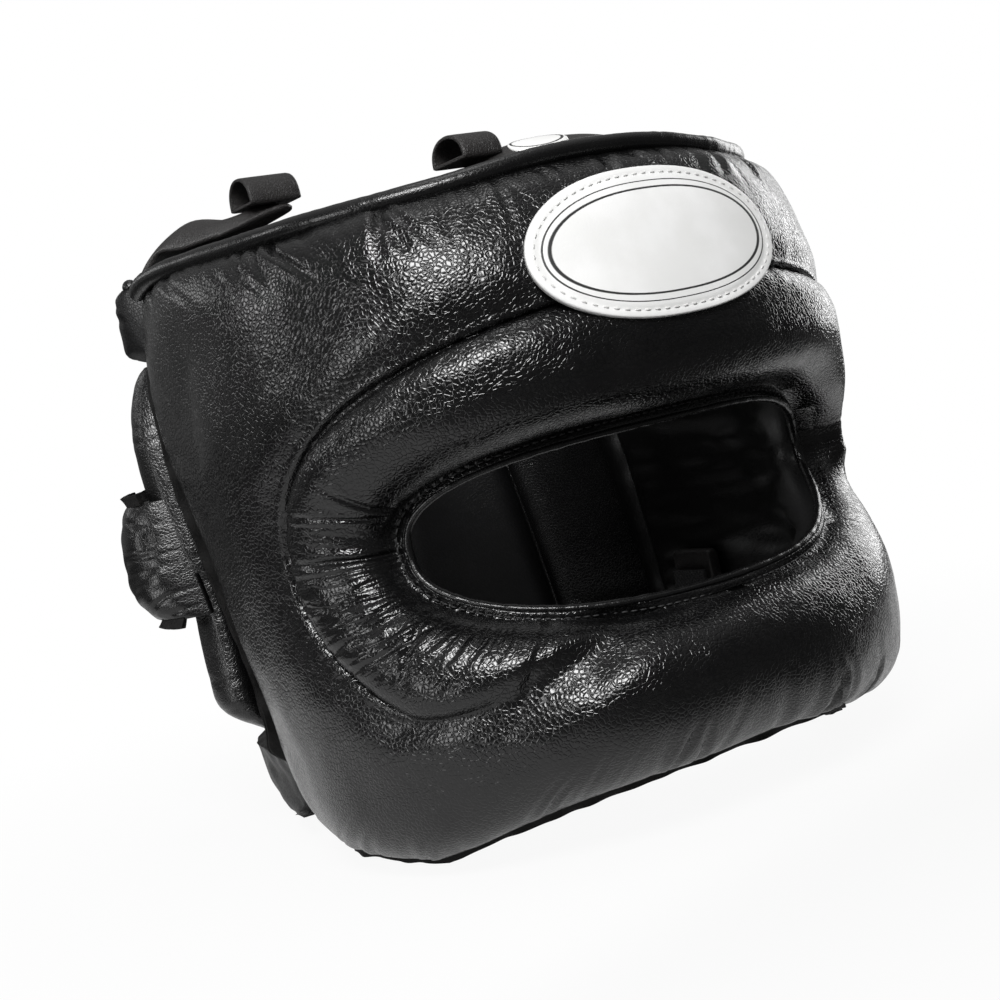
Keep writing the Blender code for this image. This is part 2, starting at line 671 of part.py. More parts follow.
def flap_loops(middle, half, reach, rise, steepness):
    """Leather tongue that stands on the inner side of the rim and leans inwards."""
    row = np.linspace(-1.0, 1.0, 11)[:, None]
    along = np.linspace(0.0, 1.0, 7)[None, :]
    width = flap_width(row)
    angle = middle + half * row
    inward = reach * width * along**FLAP_BEND
    lift = rise * width * flap_lift(along, steepness)
    step = 1.0e-3
    slope_in = reach * width * (along + step) ** FLAP_BEND - inward
    slope_up = rise * width * flap_lift(along + step, steepness) - lift
    size = np.hypot(slope_in, slope_up)
    outer = flap_point(angle, inward, lift)
    under_in = inward + FLAP_THICKNESS * slope_up / size
    under_lift = lift - FLAP_THICKNESS * slope_in / size
    inner = flap_point(angle, under_in, under_lift)
    return facing_loops(outer, inner)


def crown_loop_loops(place):
    """Arched belt loop with a flat foot and its passage along X."""
    turn = np.linspace(0.0, math.pi, 13)
    arch = np.stack([-np.cos(turn) * LOOP_LENGTH / 2.0, np.sin(turn) ** 0.8 * LOOP_HEIGHT], axis=-1)
    foot = np.stack([np.linspace(0.8, -0.8, 5) * LOOP_LENGTH / 2.0, np.zeros(5)], axis=-1)
    path = np.concatenate([arch, foot])
    centre = np.array([0.0, LOOP_HEIGHT / 2.0])
    inner = centre + (path - centre) * (1.0 - 2.0 * LOOP_THICKNESS / np.array([LOOP_LENGTH, LOOP_HEIGHT]))
    half = LOOP_WIDTH / 2.0
    corners = [(path, -half), (path, half), (inner, half), (inner, -half)]
    local = [np.stack([np.full(len(line), x), line[:, 0], line[:, 1]], axis=-1) for line, x in corners]
    return np.stack(local, axis=1) + np.array(place)


def make_crown(parts, hinges):
    leather = material("crown leather", LEATHER_BLACK, 0.4)
    label = material("label", BADGE_WHITE, 0.5)
    flaps = {
        "front": (FRONT_FLAP_ANGLE, FRONT_FLAP_HALF, FRONT_FLAP_REACH, FRONT_FLAP_RISE, FRONT_FLAP_STEEPNESS),
        "left": (-REAR_FLAP_ANGLE, REAR_FLAP_HALF, REAR_FLAP_REACH, LEFT_FLAP_RISE, REAR_FLAP_STEEPNESS),
        "right": (REAR_FLAP_ANGLE, REAR_FLAP_HALF, REAR_FLAP_REACH, RIGHT_FLAP_RISE, REAR_FLAP_STEEPNESS),
    }
    for name, sizes in flaps.items():
        node = "crown_flap_" + name
        parts[node] = loft(node, flap_loops(*sizes), leather)
        carry(parts[node], hinges[node])
    seats = {
        "front": (FRONT_LOOP_SHARE, FRONT_LOOP_INWARD),
        "left": (0.0, REAR_LOOP_INWARD),
        "right": (0.0, REAR_LOOP_INWARD),
    }
    for name, (share, inward) in seats.items():
        middle, half, reach, rise, steepness = flaps[name]
        angle = middle + half * share
        beside = angle + LOOP_WIDTH / 2.0 / (SEAM_HALF_WIDTH - inward)
        lift = rise + CLEARANCE + max(rim_level(beside) - rim_level(angle), 0.0)
        place = flap_point(angle, inward, lift)
        node = "crown_loop_" + name
        parts[node] = loft(node, crown_loop_loops(place), leather, True)
        carry(parts[node], hinges["crown_flap_" + name])
    middle, half, reach, rise, steepness = flaps["front"]
    rows = np.linspace(-1.0, 1.0, 7) * math.radians(80.0)
    columns = np.linspace(-1.0, 1.0, 7)[None, :]
    arc = FOREHEAD_REACH - CROWN_LEAN
    angle = middle + LABEL_SHARE * half + LABEL_HALF_WIDTH / arc * np.cos(rows)[:, None] * columns
    inward = LABEL_INWARD + LABEL_HALF_DEPTH * np.sin(rows)[:, None] + 0.0 * columns
    lift = rise * flap_lift((inward / reach) ** (1.0 / FLAP_BEND), steepness) + CLEARANCE
    top = flap_point(angle, inward, lift + LABEL_THICKNESS)
    low = flap_point(angle, inward, lift)
    parts["size_label"] = loft("size_label", facing_loops(top, low), label)
    carry(parts["size_label"], hinges["crown_flap_front"])


def make_chin_strap(parts, hinges):
    webbing = material("chin webbing", NYLON_BLACK, 0.7)
    leather = material("strap leather", LEATHER_BLACK, 0.36)
    steel = material("steel", STEEL, 0.3, 1.0)
    hollow = ANCHOR_LENGTH**2 / (8.0 * SEAM_HALF_WIDTH)
    wall = float(half_width(CHIN_STRAP_LEVEL - ANCHOR_HEIGHT / 2.0)) - PAD_IN - hollow - 2.0 * CLEARANCE
    span = wall - ANCHOR_DEPTH - CLEARANCE - CHIN_STRAP_THICKNESS / 2.0

    turn = np.linspace(0.0, math.pi, 25)
    x = -span * signed_power(np.cos(turn), 0.8)
    z = CHIN_STRAP_LEVEL - CHIN_STRAP_DROP * np.sin(turn) ** 0.9
    along = np.stack([np.gradient(x), np.gradient(z)], axis=-1)
    along[0] = (0.0, -1.0)
    along[-1] = (0.0, 1.0)
    along /= np.linalg.norm(along, axis=1)[:, None]
    half = CHIN_STRAP_THICKNESS / 2.0
    loops = []
    for face in (1.0, -1.0):
        side_x = x - face * half * along[:, 1]
        side_z = z + face * half * along[:, 0]
        edges = (-0.5, 0.5) if face > 0 else (0.5, -0.5)
        for edge in edges:
            y = np.full(len(x), CHIN_STRAP_Y + edge * CHIN_STRAP_WIDTH)
            loops.append(np.stack([side_x, y, side_z], axis=-1))
    parts["chin_strap"] = loft("chin_strap", np.stack(loops, axis=1), webbing)
    carry(parts["chin_strap"], hinges["chin_strap"])

    for name, side in (("left", -1), ("right", 1)):
        bpy.ops.mesh.primitive_cube_add(size=1.0)
        block = bpy.context.object
        block.name = "chin_anchor_" + name
        block.data.transform(Matrix.Diagonal((ANCHOR_DEPTH, ANCHOR_LENGTH, ANCHOR_HEIGHT, 1.0)))
        block.location = (side * (wall - ANCHOR_DEPTH / 2.0), CHIN_STRAP_Y, CHIN_STRAP_LEVEL)
        block.data.materials.append(leather)
        parts[block.name] = block

    wide = CHIN_STRAP_WIDTH / 2.0 + CLEARANCE + SLIDER_WIRE
    tall = CHIN_STRAP_THICKNESS / 2.0 + CLEARANCE + SLIDER_WIRE
    turn = np.linspace(0.0, 2.0 * math.pi, 32, endpoint=False)
    across, up = outline(turn, 8.0)
    low = CHIN_STRAP_LEVEL - CHIN_STRAP_DROP
    path = np.stack([0.0 * turn, CHIN_STRAP_Y + wide * across, low + tall * up], axis=-1)
    parts["strap_slider"] = tube("strap_slider", path, SLIDER_WIRE, steel, True)
    carry(parts["strap_slider"], hinges["chin_strap"])


def seam_axis_point(z):
    return padded_point(-seam_angle(z) - SEAM_ALLOWANCE / 2.0 / SEAM_HALF_WIDTH, z, HINGE_OUT)


def flap_axis(middle, half):
    """A point halfway between a flap's base and its chord, and the chord's direction."""
    start = flap_point(middle - half, 0.0, 0.0)
    end = flap_point(middle + half, 0.0, 0.0)
    point = (start + end) / 4.0 + flap_point(middle, 0.0, 0.0) / 2.0
    return point, (end - start) / np.linalg.norm(end - start)


def make_hinges():
    """Empties on the joint axes."""
    low = seam_axis_point(np.array(HINGE_LOW))
    strap = padded_point(math.pi + strap_root(), CLOSURE_LEVEL, closure_heights()[-1])
    places = {
        "wing_left": low,
        "wing_right": mirrored(low, 1),
        "closure_strap": strap,
        "chin_strap": (0.0, CHIN_STRAP_Y, CHIN_STRAP_LEVEL),
        "crown_flap_front": flap_axis(FRONT_FLAP_ANGLE, FRONT_FLAP_HALF)[0],
        "crown_flap_left": flap_axis(-REAR_FLAP_ANGLE, REAR_FLAP_HALF)[0],
        "crown_flap_right": flap_axis(REAR_FLAP_ANGLE, REAR_FLAP_HALF)[0],
    }
    return {name: hinge_empty(name + "_axis", [float(v) for v in place]) for name, place in places.items()}


def main():
    clear_scene()
    hinges = make_hinges()
    parts = {}
    make_front(parts)
    make_front_trims(parts)
    make_badge(parts)
    make_rear_halves(parts, hinges)
    make_closure(parts, hinges)
    make_crown(parts, hinges)
    make_chin_strap(parts, hinges)


main()
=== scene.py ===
"""Full-face boxing headgear: finished leather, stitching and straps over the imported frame.

Metres, +Z up, the front towards -Y and the wearer's left towards +X. Left and right in names are the
viewer's, so left is -X. Angles round the head start at the front and grow towards +X. The seam surface wraps
the head halfway through the padding, and heights are measured outwards from it. Polar angles theta run round
the eye slot, from 0 at its +X end.
"""

import json
import math

import bmesh
import bpy
import numpy as np
from mathutils import Matrix, Vector


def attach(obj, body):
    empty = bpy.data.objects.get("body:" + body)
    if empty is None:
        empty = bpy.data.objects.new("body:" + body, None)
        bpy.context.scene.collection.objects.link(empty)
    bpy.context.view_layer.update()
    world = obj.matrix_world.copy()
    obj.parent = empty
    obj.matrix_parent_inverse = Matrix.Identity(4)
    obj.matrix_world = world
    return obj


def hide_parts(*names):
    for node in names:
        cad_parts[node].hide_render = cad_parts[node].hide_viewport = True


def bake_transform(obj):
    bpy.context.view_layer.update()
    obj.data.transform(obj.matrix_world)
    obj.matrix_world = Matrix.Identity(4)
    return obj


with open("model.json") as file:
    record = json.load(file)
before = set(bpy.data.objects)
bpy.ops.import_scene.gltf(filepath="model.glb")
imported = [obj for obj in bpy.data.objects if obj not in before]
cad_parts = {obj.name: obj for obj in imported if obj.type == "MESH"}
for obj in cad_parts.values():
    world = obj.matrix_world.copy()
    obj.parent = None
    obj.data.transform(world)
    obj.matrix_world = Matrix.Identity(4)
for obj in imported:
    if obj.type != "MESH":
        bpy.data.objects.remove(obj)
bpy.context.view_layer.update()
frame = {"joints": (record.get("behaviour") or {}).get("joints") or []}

# Seam surface, as in the solids
SEAM_HALF_WIDTH = 0.0930
SEAM_SWELL = 0.0058
FOREHEAD_REACH = 0.1000
BAR_REACH = 0.0150
BAR_LEVEL = 0.0630
BAR_SPREAD = 0.0440
CROWN_LEAN = 0.0102
CROWN_LEAN_FROM = 0.1740
REAR_REACH = 0.1150
SECTION_POWER = 0.84
HEAD_AXIS_Y = -0.0034

# Outline of the front
RIM_HEIGHT = 0.2216
RIM_REAR_DROP = 0.0019
REAR_RIM = RIM_HEIGHT - RIM_REAR_DROP
RIM_DIP = 0.0055
SIDE_ANGLE = math.radians(112.0)
SIDE_LEAN = math.radians(10.0)
OUTLINE_POWER = 9.0
CHIN_LIFT = 0.0183
CHIN_HALF_ANGLE = math.radians(62.0)
EYE_HALF_ANGLE = math.radians(54.3)
EYE_LEVEL = 0.1054
EYE_RISE = 0.0267
EYE_DIP = 0.0296
EYE_DIP_AT_ENDS = 0.0249
EYE_POWER = 2.6
EYE_POWER_DROP = 0.5

# Front padding
PAD_OUT = 0.0220
PAD_IN = 0.0090
BAR_EXTRA = 0.0042
BROW_EXTRA = 0.0075
BROW_LEVEL = 0.1530
BROW_SPREAD = 0.0300
EYE_EDGE_OUT = 0.0040
EYE_EDGE_IN = 0.0015
RIM_FLARE = 0.0080
REAR_FLARE = 0.0220
FLARE_FROM = math.radians(80.0)
FLARE_TO = math.radians(124.0)
FLARE_DEPTH = 0.0400
EYE_LIP = 0.0036
EYE_ROLL = 0.0220
EYE_ROLL_BELOW = 0.0360
EYE_ROLL_MORE = 0.0060
EYE_ROLL_LESS = 0.0160
EYE_ROLL_SLACK = 0.0300
ROLL_POWER = 2.4
PUFFY_DROP = 0.4
OUTLINE_ROLL = 0.0300
LINING_ROLL = 0.0140
RING_WIDTH = 0.0310
RING_EXTRA = 0.0122
RING_POWER = 3.4
RING_SPREAD = 0.88
RING_MIDDLE = 0.0180
GROOVE_DIP = 0.0044
GROOVE_ABOVE = 0.30
GROOVE_SHOULDER = 0.0105
GROOVE_SLOPE = 0.0028
GROOVE_SLOPE_WIDTH = 0.0085
GROOVE_WALL = 0.0008
GROOVE_LIP = 0.0002
GROOVE_LIP_AT = 0.0022
GROOVE_LIP_WIDTH = 0.0009
GROOVE_CREASE = 0.0004
GROOVE_CREASE_WIDTH = 0.0010
RUNOUT_INSIDE = 0.0100
RUNOUT_OUTSIDE = 0.0150
RUNOUT_EXTRA = 0.40
RUNOUT_FROM = 0.745
RUNOUT_TO = 0.970
RUNOUT_EASE = 0.15
RUNOUT_DRAW = 0.90
RUNOUT_OPEN = 0.55
RUNOUT_DEEPEST = 0.60
RUNOUT_DEEP_OVER = 0.30
RUNOUT_FADE = (0.78, 0.22)
RIM_TUCK = 0.0030
RIM_TUCK_WIDTH = 0.0042
SEAM_GAP = 0.0003
SIDE_TAPER = 0.0560
SIDE_TAPER_TOP = 0.1850
SIDE_TAPER_FADE = 0.0750
SIDE_TUCK_ANGLE = math.radians(26.0)
SEAM_RISE = 0.0140
SEAM_RISE_FROM = 0.0500
SEAM_RISE_OVER = 0.1300
HEM_DIP = 0.00035
HEM_WIDTH = 0.0008
PUCKER = 0.00012
PUCKER_LENGTH = 0.0055
PUCKER_SPREAD = 0.0060
DRAWN_AT = 0.0170
DRAWN_SPREAD = 0.0180
DRAWN_RIGHT = 0.3

# Stretches round the slot, each a start and a length on a sine or cosine of theta
UNDER_SLOT = (0.55, 0.40)
ROUND_END = (0.20, 0.60)
PUFFY_END = (0.35, 0.45)
TIGHT_AT = math.radians(4.0)
TIGHT_END = (0.60, 0.35)
SLACK_AT = math.radians(-52.0)
SLACK_END = (0.70, 0.25)
BLUNT_GROOVE = (0.64, 0.12)
PLAIN_END = (0.05, 0.30)
PLAIN_BELOW = (-0.60, 0.35)
DEEP_ABOVE = (0.20, 0.50)
TUCKED_ABOVE = (0.30, 0.30)
DRAWN_END = (0.45, 0.35)
DRAWN_BELOW = (-0.45, 0.75)

# Unevenness: pairs of a height, or a share of one, and a wave's length
FRONT_LUMPS = ((0.00040, 0.060), (0.00006, 0.017))
LINING_FOLDS = ((0.0011, 0.020), (0.0005, 0.009))
BINDING_LUMPS = ((0.06, 0.006), (0.05, 0.030))
PIPING_RINGS = ((0.008, 0.006), (0.020, 0.030))
REAR_LUMPS = ((0.0006, 0.045), (0.0002, 0.014))
GUARD_LUMPS = ((0.0004, 0.034), (0.00005, 0.010))
ROLL_LUMPS = ((0.0002, 0.012),)
FLAP_SWAY = ((0.0007, 0.030),)
GUSSET_SAG = ((0.0004, 0.020),)

# Gathers: pitch, lean, and the ranges of their folds' centre, reach, width and depth
RING_FINE = (0.0023, 0.12, (0.009, 0.022), (0.007, 0.014), (0.00055, 0.0010), (0.00015, 0.00058))
RING_COARSE = (0.0095, 0.14, (0.010, 0.020), (0.010, 0.018), (0.0009, 0.0016), (0.0005, 0.0012))
RING_FAINT = (0.0060, 0.14, (0.008, 0.014), (0.006, 0.011), (0.0008, 0.0014), (0.0001, 0.0004))
RIM_GATHERS = (0.0085, 0.35, (0.003, 0.007), (0.006, 0.015), (0.0011, 0.0024), (0.0005, 0.0023))
SIDE_GATHERS = (0.0150, 0.30, (0.003, 0.008), (0.006, 0.014), (0.0014, 0.0030), (0.0003, 0.0012))
JAW_GATHERS = (0.0100, 0.25, (0.003, 0.008), (0.006, 0.019), (0.0010, 0.0024), (0.0004, 0.0018))
REAR_RIM_GATHERS = (0.0100, 0.3, (0.002, 0.006), (0.006, 0.013), (0.0011, 0.0024), (0.0003, 0.0013))
NECK_GATHERS = (0.0110, 0.3, (0.002, 0.006), (0.005, 0.011), (0.0011, 0.0024), (0.0003, 0.0010))
EAR_EDGE_GATHERS = (0.0090, 0.3, (0.002, 0.006), (0.005, 0.012), (0.0011, 0.0024), (0.0003, 0.0011))
BACK_GATHERS = (0.0120, 0.2, (0.002, 0.006), (0.005, 0.010), (0.0011, 0.0024), (0.0003, 0.0008))
CHANNEL_GATHERS = (0.0080, 0.3, (-0.003, 0.003), (0.005, 0.010), (0.0010, 0.0020), (0.0002, 0.0008))
GUARD_SEAM_GATHERS = (0.0060, 0.30, (0.001, 0.004), (0.003, 0.008), (0.0008, 0.0016), (0.0001, 0.0008))
GUARD_REAR_GATHERS = (0.0110, 0.25, (0.002, 0.005), (0.004, 0.009), (0.0010, 0.0022), (0.0002, 0.0008))
ROLL_FRONT_GATHERS = (0.0046, 0.60, (0.000, 0.004), (0.003, 0.007), (0.0007, 0.0013), (0.0001, 0.0007))
ROLL_REAR_GATHERS = (0.0085, 0.30, (0.001, 0.004), (0.004, 0.008), (0.0010, 0.0017), (0.0001, 0.0005))
ROLL_END_GATHERS = (0.0064, 0.25, (0.001, 0.004), (0.003, 0.006), (0.0009, 0.0015), (0.0002, 0.0006))

# Folds that show one by one. Round the slot: polar degrees, lean, centre, width and depth
RING_FOLDS = (
    (149.0, -0.36, 0.011, 0.0012, 0.0015),
    (176.5, 0.03, 0.012, 0.0012, 0.0017),
    (219.0, 0.62, 0.016, 0.0014, 0.0016),
    (205.0, 0.25, 0.014, 0.0012, 0.0010),
)
RING_FOLD_REACH = 0.0125
# Under the rim and over the welt: degrees round the head, lean, width and depth
RIM_FOLDS = (
    (-44.0, 0.6, 0.0017, 0.0026),
    (-40.5, -0.3, 0.0013, 0.0022),
    (-75.5, 0.5, 0.0016, 0.0030),
    (-71.0, 0.2, 0.0012, 0.0022),
    (-66.0, -0.3, 0.0016, 0.0026),
    (-1.6, 0.2, 0.0013, 0.0024),
    (3.7, -0.2, 0.0012, 0.0024),
    (8.0, 0.3, 0.0012, 0.0018),
    (-22.0, 0.3, 0.0012, 0.0016),
)
JAW_FOLDS = (
    (-16.0, 0.1, 0.0012, 0.0022),
    (-11.5, -0.2, 0.0012, 0.0018),
    (12.7, 0.3, 0.0013, 0.0030),
    (15.5, -0.3, 0.0013, 0.0024),
    (30.0, 0.2, 0.0014, 0.0026),
    (-38.0, 0.2, 0.0014, 0.0018),
)
EDGE_FOLD_CENTRE = 0.006
RIM_FOLD_REACH = 0.010
JAW_FOLD_REACH = 0.009

# Edge trims
BINDING_RADIUS = 0.0016
PIPING_RADIUS = 0.0030
PIPING_SEAT = 0.0014
PIPING_OUT = 0.0028
PIPING_REACH = math.radians(44.5)
PIPING_PLUMP = 1.14
TAPE_WIDTH = 0.0070
TAPE_SUNK = 0.0015
TAPE_THICKNESS = 0.0016
WELT_DROP = 0.0080
EDGE_DROP = 0.0046
WELT_REACH = math.radians(42.0)
WELT_LAYER = 0.0011
WELT_SHORT = 0.0020
LOWER_LAYER = 0.95
RAW_SHARP = 50.0
SEAM_ALLOWANCE = 0.0040
SIDE_WELT_SUNK = 0.0030
SIDE_WELT_REACH = 0.0040
SIDE_WELT_TAIL = 0.0025
SIDE_WELT_MARGIN = 0.0120

# Rear halves, ear guards and bolsters
REAR_PAD_OUT = 0.0190
REAR_PAD_IN = 0.0080
BAND_EXTRA = 0.0130
BAND_CHANNEL = 0.0050
BAND_CHANNEL_WIDTH = 0.0050
REAR_EDGE_OUT = 0.0050
REAR_EDGE_IN = 0.0010
REAR_ROLL = 0.0130
REAR_FLOOR_GAP = 0.0006
REAR_STEP = 0.0040
REAR_RUN = (0.20, 0.37)
NECK_RISE = 0.0090
NECK_RUN = 0.0450
NECK_TAPER = 0.0080
NECK_FRONT_TAPER = 0.0170
NECK_FRONT_RUN = 0.0550
NECK_FRONT_FADE = (0.0270, 0.0340)
BACK_GAP_ANGLE = math.radians(2.0)
EAR_ARC = 0.0500
EAR_BOTTOM = 0.0350
EAR_TOP = 0.1890
EAR_CORNER = 0.0060
GUARD_BASE = 0.0080
GUARD_LOWER = 0.0138
GUARD_LOWER_RISE = 0.0240
GUARD_UPPER = 0.0112
GUARD_UPPER_RISE = (0.0850, 0.0750)
GUARD_TOP = 0.1950
GUARD_TOP_ROLL = 0.0280
GUARD_EDGE_OUT = 0.0045
GUARD_HOLLOW = 0.0080
GUARD_EDGE_IN = 0.0020
GUARD_ROLL = 0.0140
GUARD_SKIRT = 0.0030
GUARD_SETBACK = 0.0014
ROLL_LEVEL = 0.1140
ROLL_HEIGHT = 0.0460
ROLL_PEAK = 0.0445
ROLL_FRONT_ROLL = 0.0170
ROLL_LOWER = 0.50
ROLL_UPPER = 0.44
ROLL_SUNK = 0.0020
ROLL_SEAM_UP = 0.0042
ROLL_SEAM_DOWN = 0.0036
ROLL_FROM = 0.0015
ROLL_TO = 0.0450

# Gussets behind the side seams
GUSSET_LEVELS = (0.0300, 0.2050)
GUSSET_MIDDLE = 0.1170
GUSSET_REACH = 0.0050
GUSSET_LIFT = 0.0005
GUSSET_BOW = 0.0045
GUSSET_THICKNESS = 0.0012
GUSSET_BEND = 0.0040

# Closure at the back
CLOSURE_LEVEL = 0.1500
CLOSURE_WIDTH = 0.0500
PANEL_THICKNESS = 0.0020
STRAP_THICKNESS = 0.0030
PANEL_FROM = math.radians(9.0)
PANEL_TO = math.radians(26.0)
PATCH_FROM = math.radians(7.6)
STRAP_END = math.radians(24.0)
STRAP_CORNER = 0.0120
BAND_ROUNDING = 0.0009
PANEL_STITCH_INSET = 0.0028
STRAP_STITCH_INSET = 0.0030
CLEARANCE = 0.0004

# Badge, crown flaps and label
BADGE_BELOW_RIM = 0.0338
BADGE_HALF_WIDTH = 0.0446
BADGE_HALF_HEIGHT = 0.0249
BADGE_THICKNESS = 0.0016
BADGE_ANGLE = math.radians(-0.5)
BADGE_SUNK = 0.0012
BADGE_STITCH_INSET = 0.0026
BADGE_STITCHES = (0.0036, 0.0025, 0.00034)
BADGE_LINES = ((0.0053, 0.00022), (0.0077, 0.00040))
FLAP_THICKNESS = 0.0028
FLAP_BASE_LIFT = 0.0016
FLAP_BEND = 1.15
SEAM_SPAN = 0.0900
FRONT_FLAP_ANGLE = math.radians(-8.0)
FRONT_FLAP_HALF = math.radians(22.0)
FRONT_FLAP_REACH = 0.0300
FRONT_FLAP_RISE = 0.0050
FRONT_FLAP_STEEPNESS = 2.2
FRONT_FLAP_SWELL = 0.0026
REAR_FLAP_ANGLE = math.radians(137.0)
REAR_FLAP_HALF = math.radians(12.0)
REAR_FLAP_REACH = 0.0640
LEFT_FLAP_RISE = 0.0205
RIGHT_FLAP_RISE = 0.0040
REAR_FLAP_STEEPNESS = 2.2
FRONT_LOOP_SHARE = -0.55
FRONT_LOOP_INWARD = 0.0150
REAR_LOOP_INWARD = 0.0540
LOOP_LENGTH = 0.0210
LOOP_SIZES = {"front": (0.0150, 0.0095), "left": (0.0220, 0.0122), "right": (0.0220, 0.0115)}
LOOP_THICKNESS = 0.0015
FLAP_FOLDS = {
    "front": ("front", FRONT_FLAP_ANGLE, 0.0085, 0.0165),
    "left": ("wing_left", -REAR_FLAP_ANGLE, 0.0040, 0.0260),
}
LABEL_HALF_WIDTH = 0.0090
LABEL_HALF_DEPTH = 0.0045
LABEL_THICKNESS = 0.0008
LABEL_SUNK = 0.0008
LABEL_SHARE = 0.06
LABEL_INWARD = 0.0062
LABEL_LINES = ((0.0011, 0.00022),)

# Chin strap, as in the solids
CHIN_STRAP_LEVEL = 0.0620
CHIN_STRAP_DROP = 0.0480
CHIN_SPAN_POWER = 0.8
CHIN_DROP_POWER = 0.9
CHIN_STRAP_WIDTH = 0.0200
CHIN_STRAP_THICKNESS = 0.0025
FLAT_PROFILE = 8.0
ANCHOR_DEPTH = 0.0055
ANCHOR_HEIGHT = 0.0160
ANCHOR_LENGTH = 0.0240
SLIDER_WIRE = 0.0015

# Stitching
STITCH_PITCH = 0.0031
STITCH_LENGTH = 0.0024
STITCH_RADIUS = 0.00032
EYE_STITCH_INSET = 0.0024

# Rows and columns of the surfaces
FRONT_ROWS = 760
RING_COLUMNS = 50
OUTER_COLUMNS = 70
LINING_ROWS = 300
LINING_COLUMNS = 60
BACK_COLUMNS = 9
STRIP_COLUMNS = 9
REAR_COLUMNS = 90
GUARD_COLUMNS = 64
ROLL_ROWS = 130
ROLL_COLUMNS = 90
TRIM_ROWS = 900
TRIM_SIDES = 16
BADGE_ROWS = 240
BADGE_COLUMNS = 40
LABEL_ROWS = 120
LABEL_COLUMNS = 16
BAND_COLUMNS = 28
FLAP_ROWS = 90
FLAP_COLUMNS = 40
STITCH_SIDES = 6

# Camera, fitted to the photograph, and surround
CAMERA_TARGET = Vector((0.0, 0.0069, 0.117))
CAMERA_AZIMUTH = math.radians(-31.26)
CAMERA_ELEVATION = math.radians(3.33)
CAMERA_DISTANCE = 0.64507
CAMERA_ROLL = math.radians(12.09)
CAMERA_LENS = 59.75
CAMERA_SHIFT = (0.0068, -0.0189)
BACKDROP = (0.832, 0.555, 0.0)
# heading in which the floor's colour is painted darker in front, a painted shade
FLOOR_AHEAD = (0.25, -1.0, 0.0)
FLOOR_HALF = 4.0


def signed_power(value, power):
    """A power of the size, with the value's own sign."""
    return np.sign(value) * np.abs(value) ** power


def smooth_step(value):
    """0 below 0 and 1 above 1, along a cubic that is level at both."""
    held = np.clip(value, 0.0, 1.0)
    return held * held * (3.0 - 2.0 * held)


def ramp(value, start, length):
    """A smooth step from a start, over a length."""
    return smooth_step((value - start) / length)


def bell(value):
    """1 at 0, falling off as the exponential of minus the square."""
    return np.exp(-(value**2))


def eased(count, share=0.5):
    """Steps from 0 to 1: even ones mixed with a share of cosine ones, which are finer at both ends."""
    even = np.linspace(0.0, 1.0, count)
    return (1.0 - share) * even + share * (0.5 - 0.5 * np.cos(math.pi * even))


def least(*distances):
    """The least of several distances, place by place."""
    return np.minimum.reduce(np.broadcast_arrays(*distances))


def roll_off(distance, radius, power=ROLL_POWER):
    """0 at an edge and 1 one radius in, along a superellipse of that power."""
    near = 1.0 - np.clip(distance / radius, 0.0, 1.0)
    return (1.0 - near**power) ** (1.0 / power)


def half_width(z):
    """Half the seam surface's width: it swells by a sine between the floor and the rim."""
    return SEAM_HALF_WIDTH + SEAM_SWELL * np.sin(math.pi * np.clip(z / RIM_HEIGHT, 0.0, 1.0))


def front_reach(z):
    """How far the seam surface reaches forward: a bell at the face bar, and a lean back under the rim."""
    bar = BAR_REACH * bell((z - BAR_LEVEL) / BAR_SPREAD)
    lean = np.maximum(z - CROWN_LEAN_FROM, 0.0) / (RIM_HEIGHT - CROWN_LEAN_FROM)
    return FOREHEAD_REACH + bar - CROWN_LEAN * lean**2


def seam_xy(angle, z):
    """The seam surface: at each height, a rounded-off oval whose front half is deeper at the face bar."""
    reach = np.where(np.cos(angle) > 0.0, front_reach(z), REAR_REACH)
    x = half_width(z) * signed_power(np.sin(angle), SECTION_POWER)
    y = HEAD_AXIS_Y - reach * signed_power(np.cos(angle), SECTION_POWER)
    return x, y


def padded_point(angle, z, height):
    """Points at a height outside the seam surface, along its level normal."""
    angle, z, height = np.broadcast_arrays(np.asarray(angle, float), z, height)
    step = math.radians(0.2)
    x0, y0 = seam_xy(angle - step, z)
    x1, y1 = seam_xy(angle + step, z)
    length = np.hypot(x1 - x0, y1 - y0)
    x, y = seam_xy(angle, z)
    return np.stack([x + (y1 - y0) / length * height, y - (x1 - x0) / length * height, z], axis=-1)


def outline(theta, power):
    """Unit outline between an oval and a rectangle, read at a polar angle."""
    size = (np.abs(np.cos(theta)) ** power + np.abs(np.sin(theta)) ** power) ** (-1.0 / power)
    return np.cos(theta) * size, np.sin(theta) * size


def rim_level(angle):
    """Height of the rim: it dips over the temples and ends a little lower at the rear."""
    share = np.clip(np.abs(angle) / SIDE_ANGLE, 0.0, 1.0)
    return RIM_HEIGHT - RIM_DIP * (1.0 - np.cos(math.pi * share) ** 4) - RIM_REAR_DROP * share**1.5


def rim_flare(angle, z):
    """How far the padding's upper edge stands out from the seam surface, most of all at the rear."""
    round_back = smooth_step((np.abs(angle) - FLARE_FROM) / (FLARE_TO - FLARE_FROM))
    near_rim = smooth_step((z - rim_level(angle)) / FLARE_DEPTH + 1.0)
    return (RIM_FLARE + (REAR_FLARE - RIM_FLARE) * round_back) * near_rim


def welt_level(angle):
    """Height of the lower edge: a parabola that is highest under the chin."""
    return CHIN_LIFT * (1.0 - np.clip(np.abs(angle) / CHIN_HALF_ANGLE, 0.0, 1.0) ** 2)


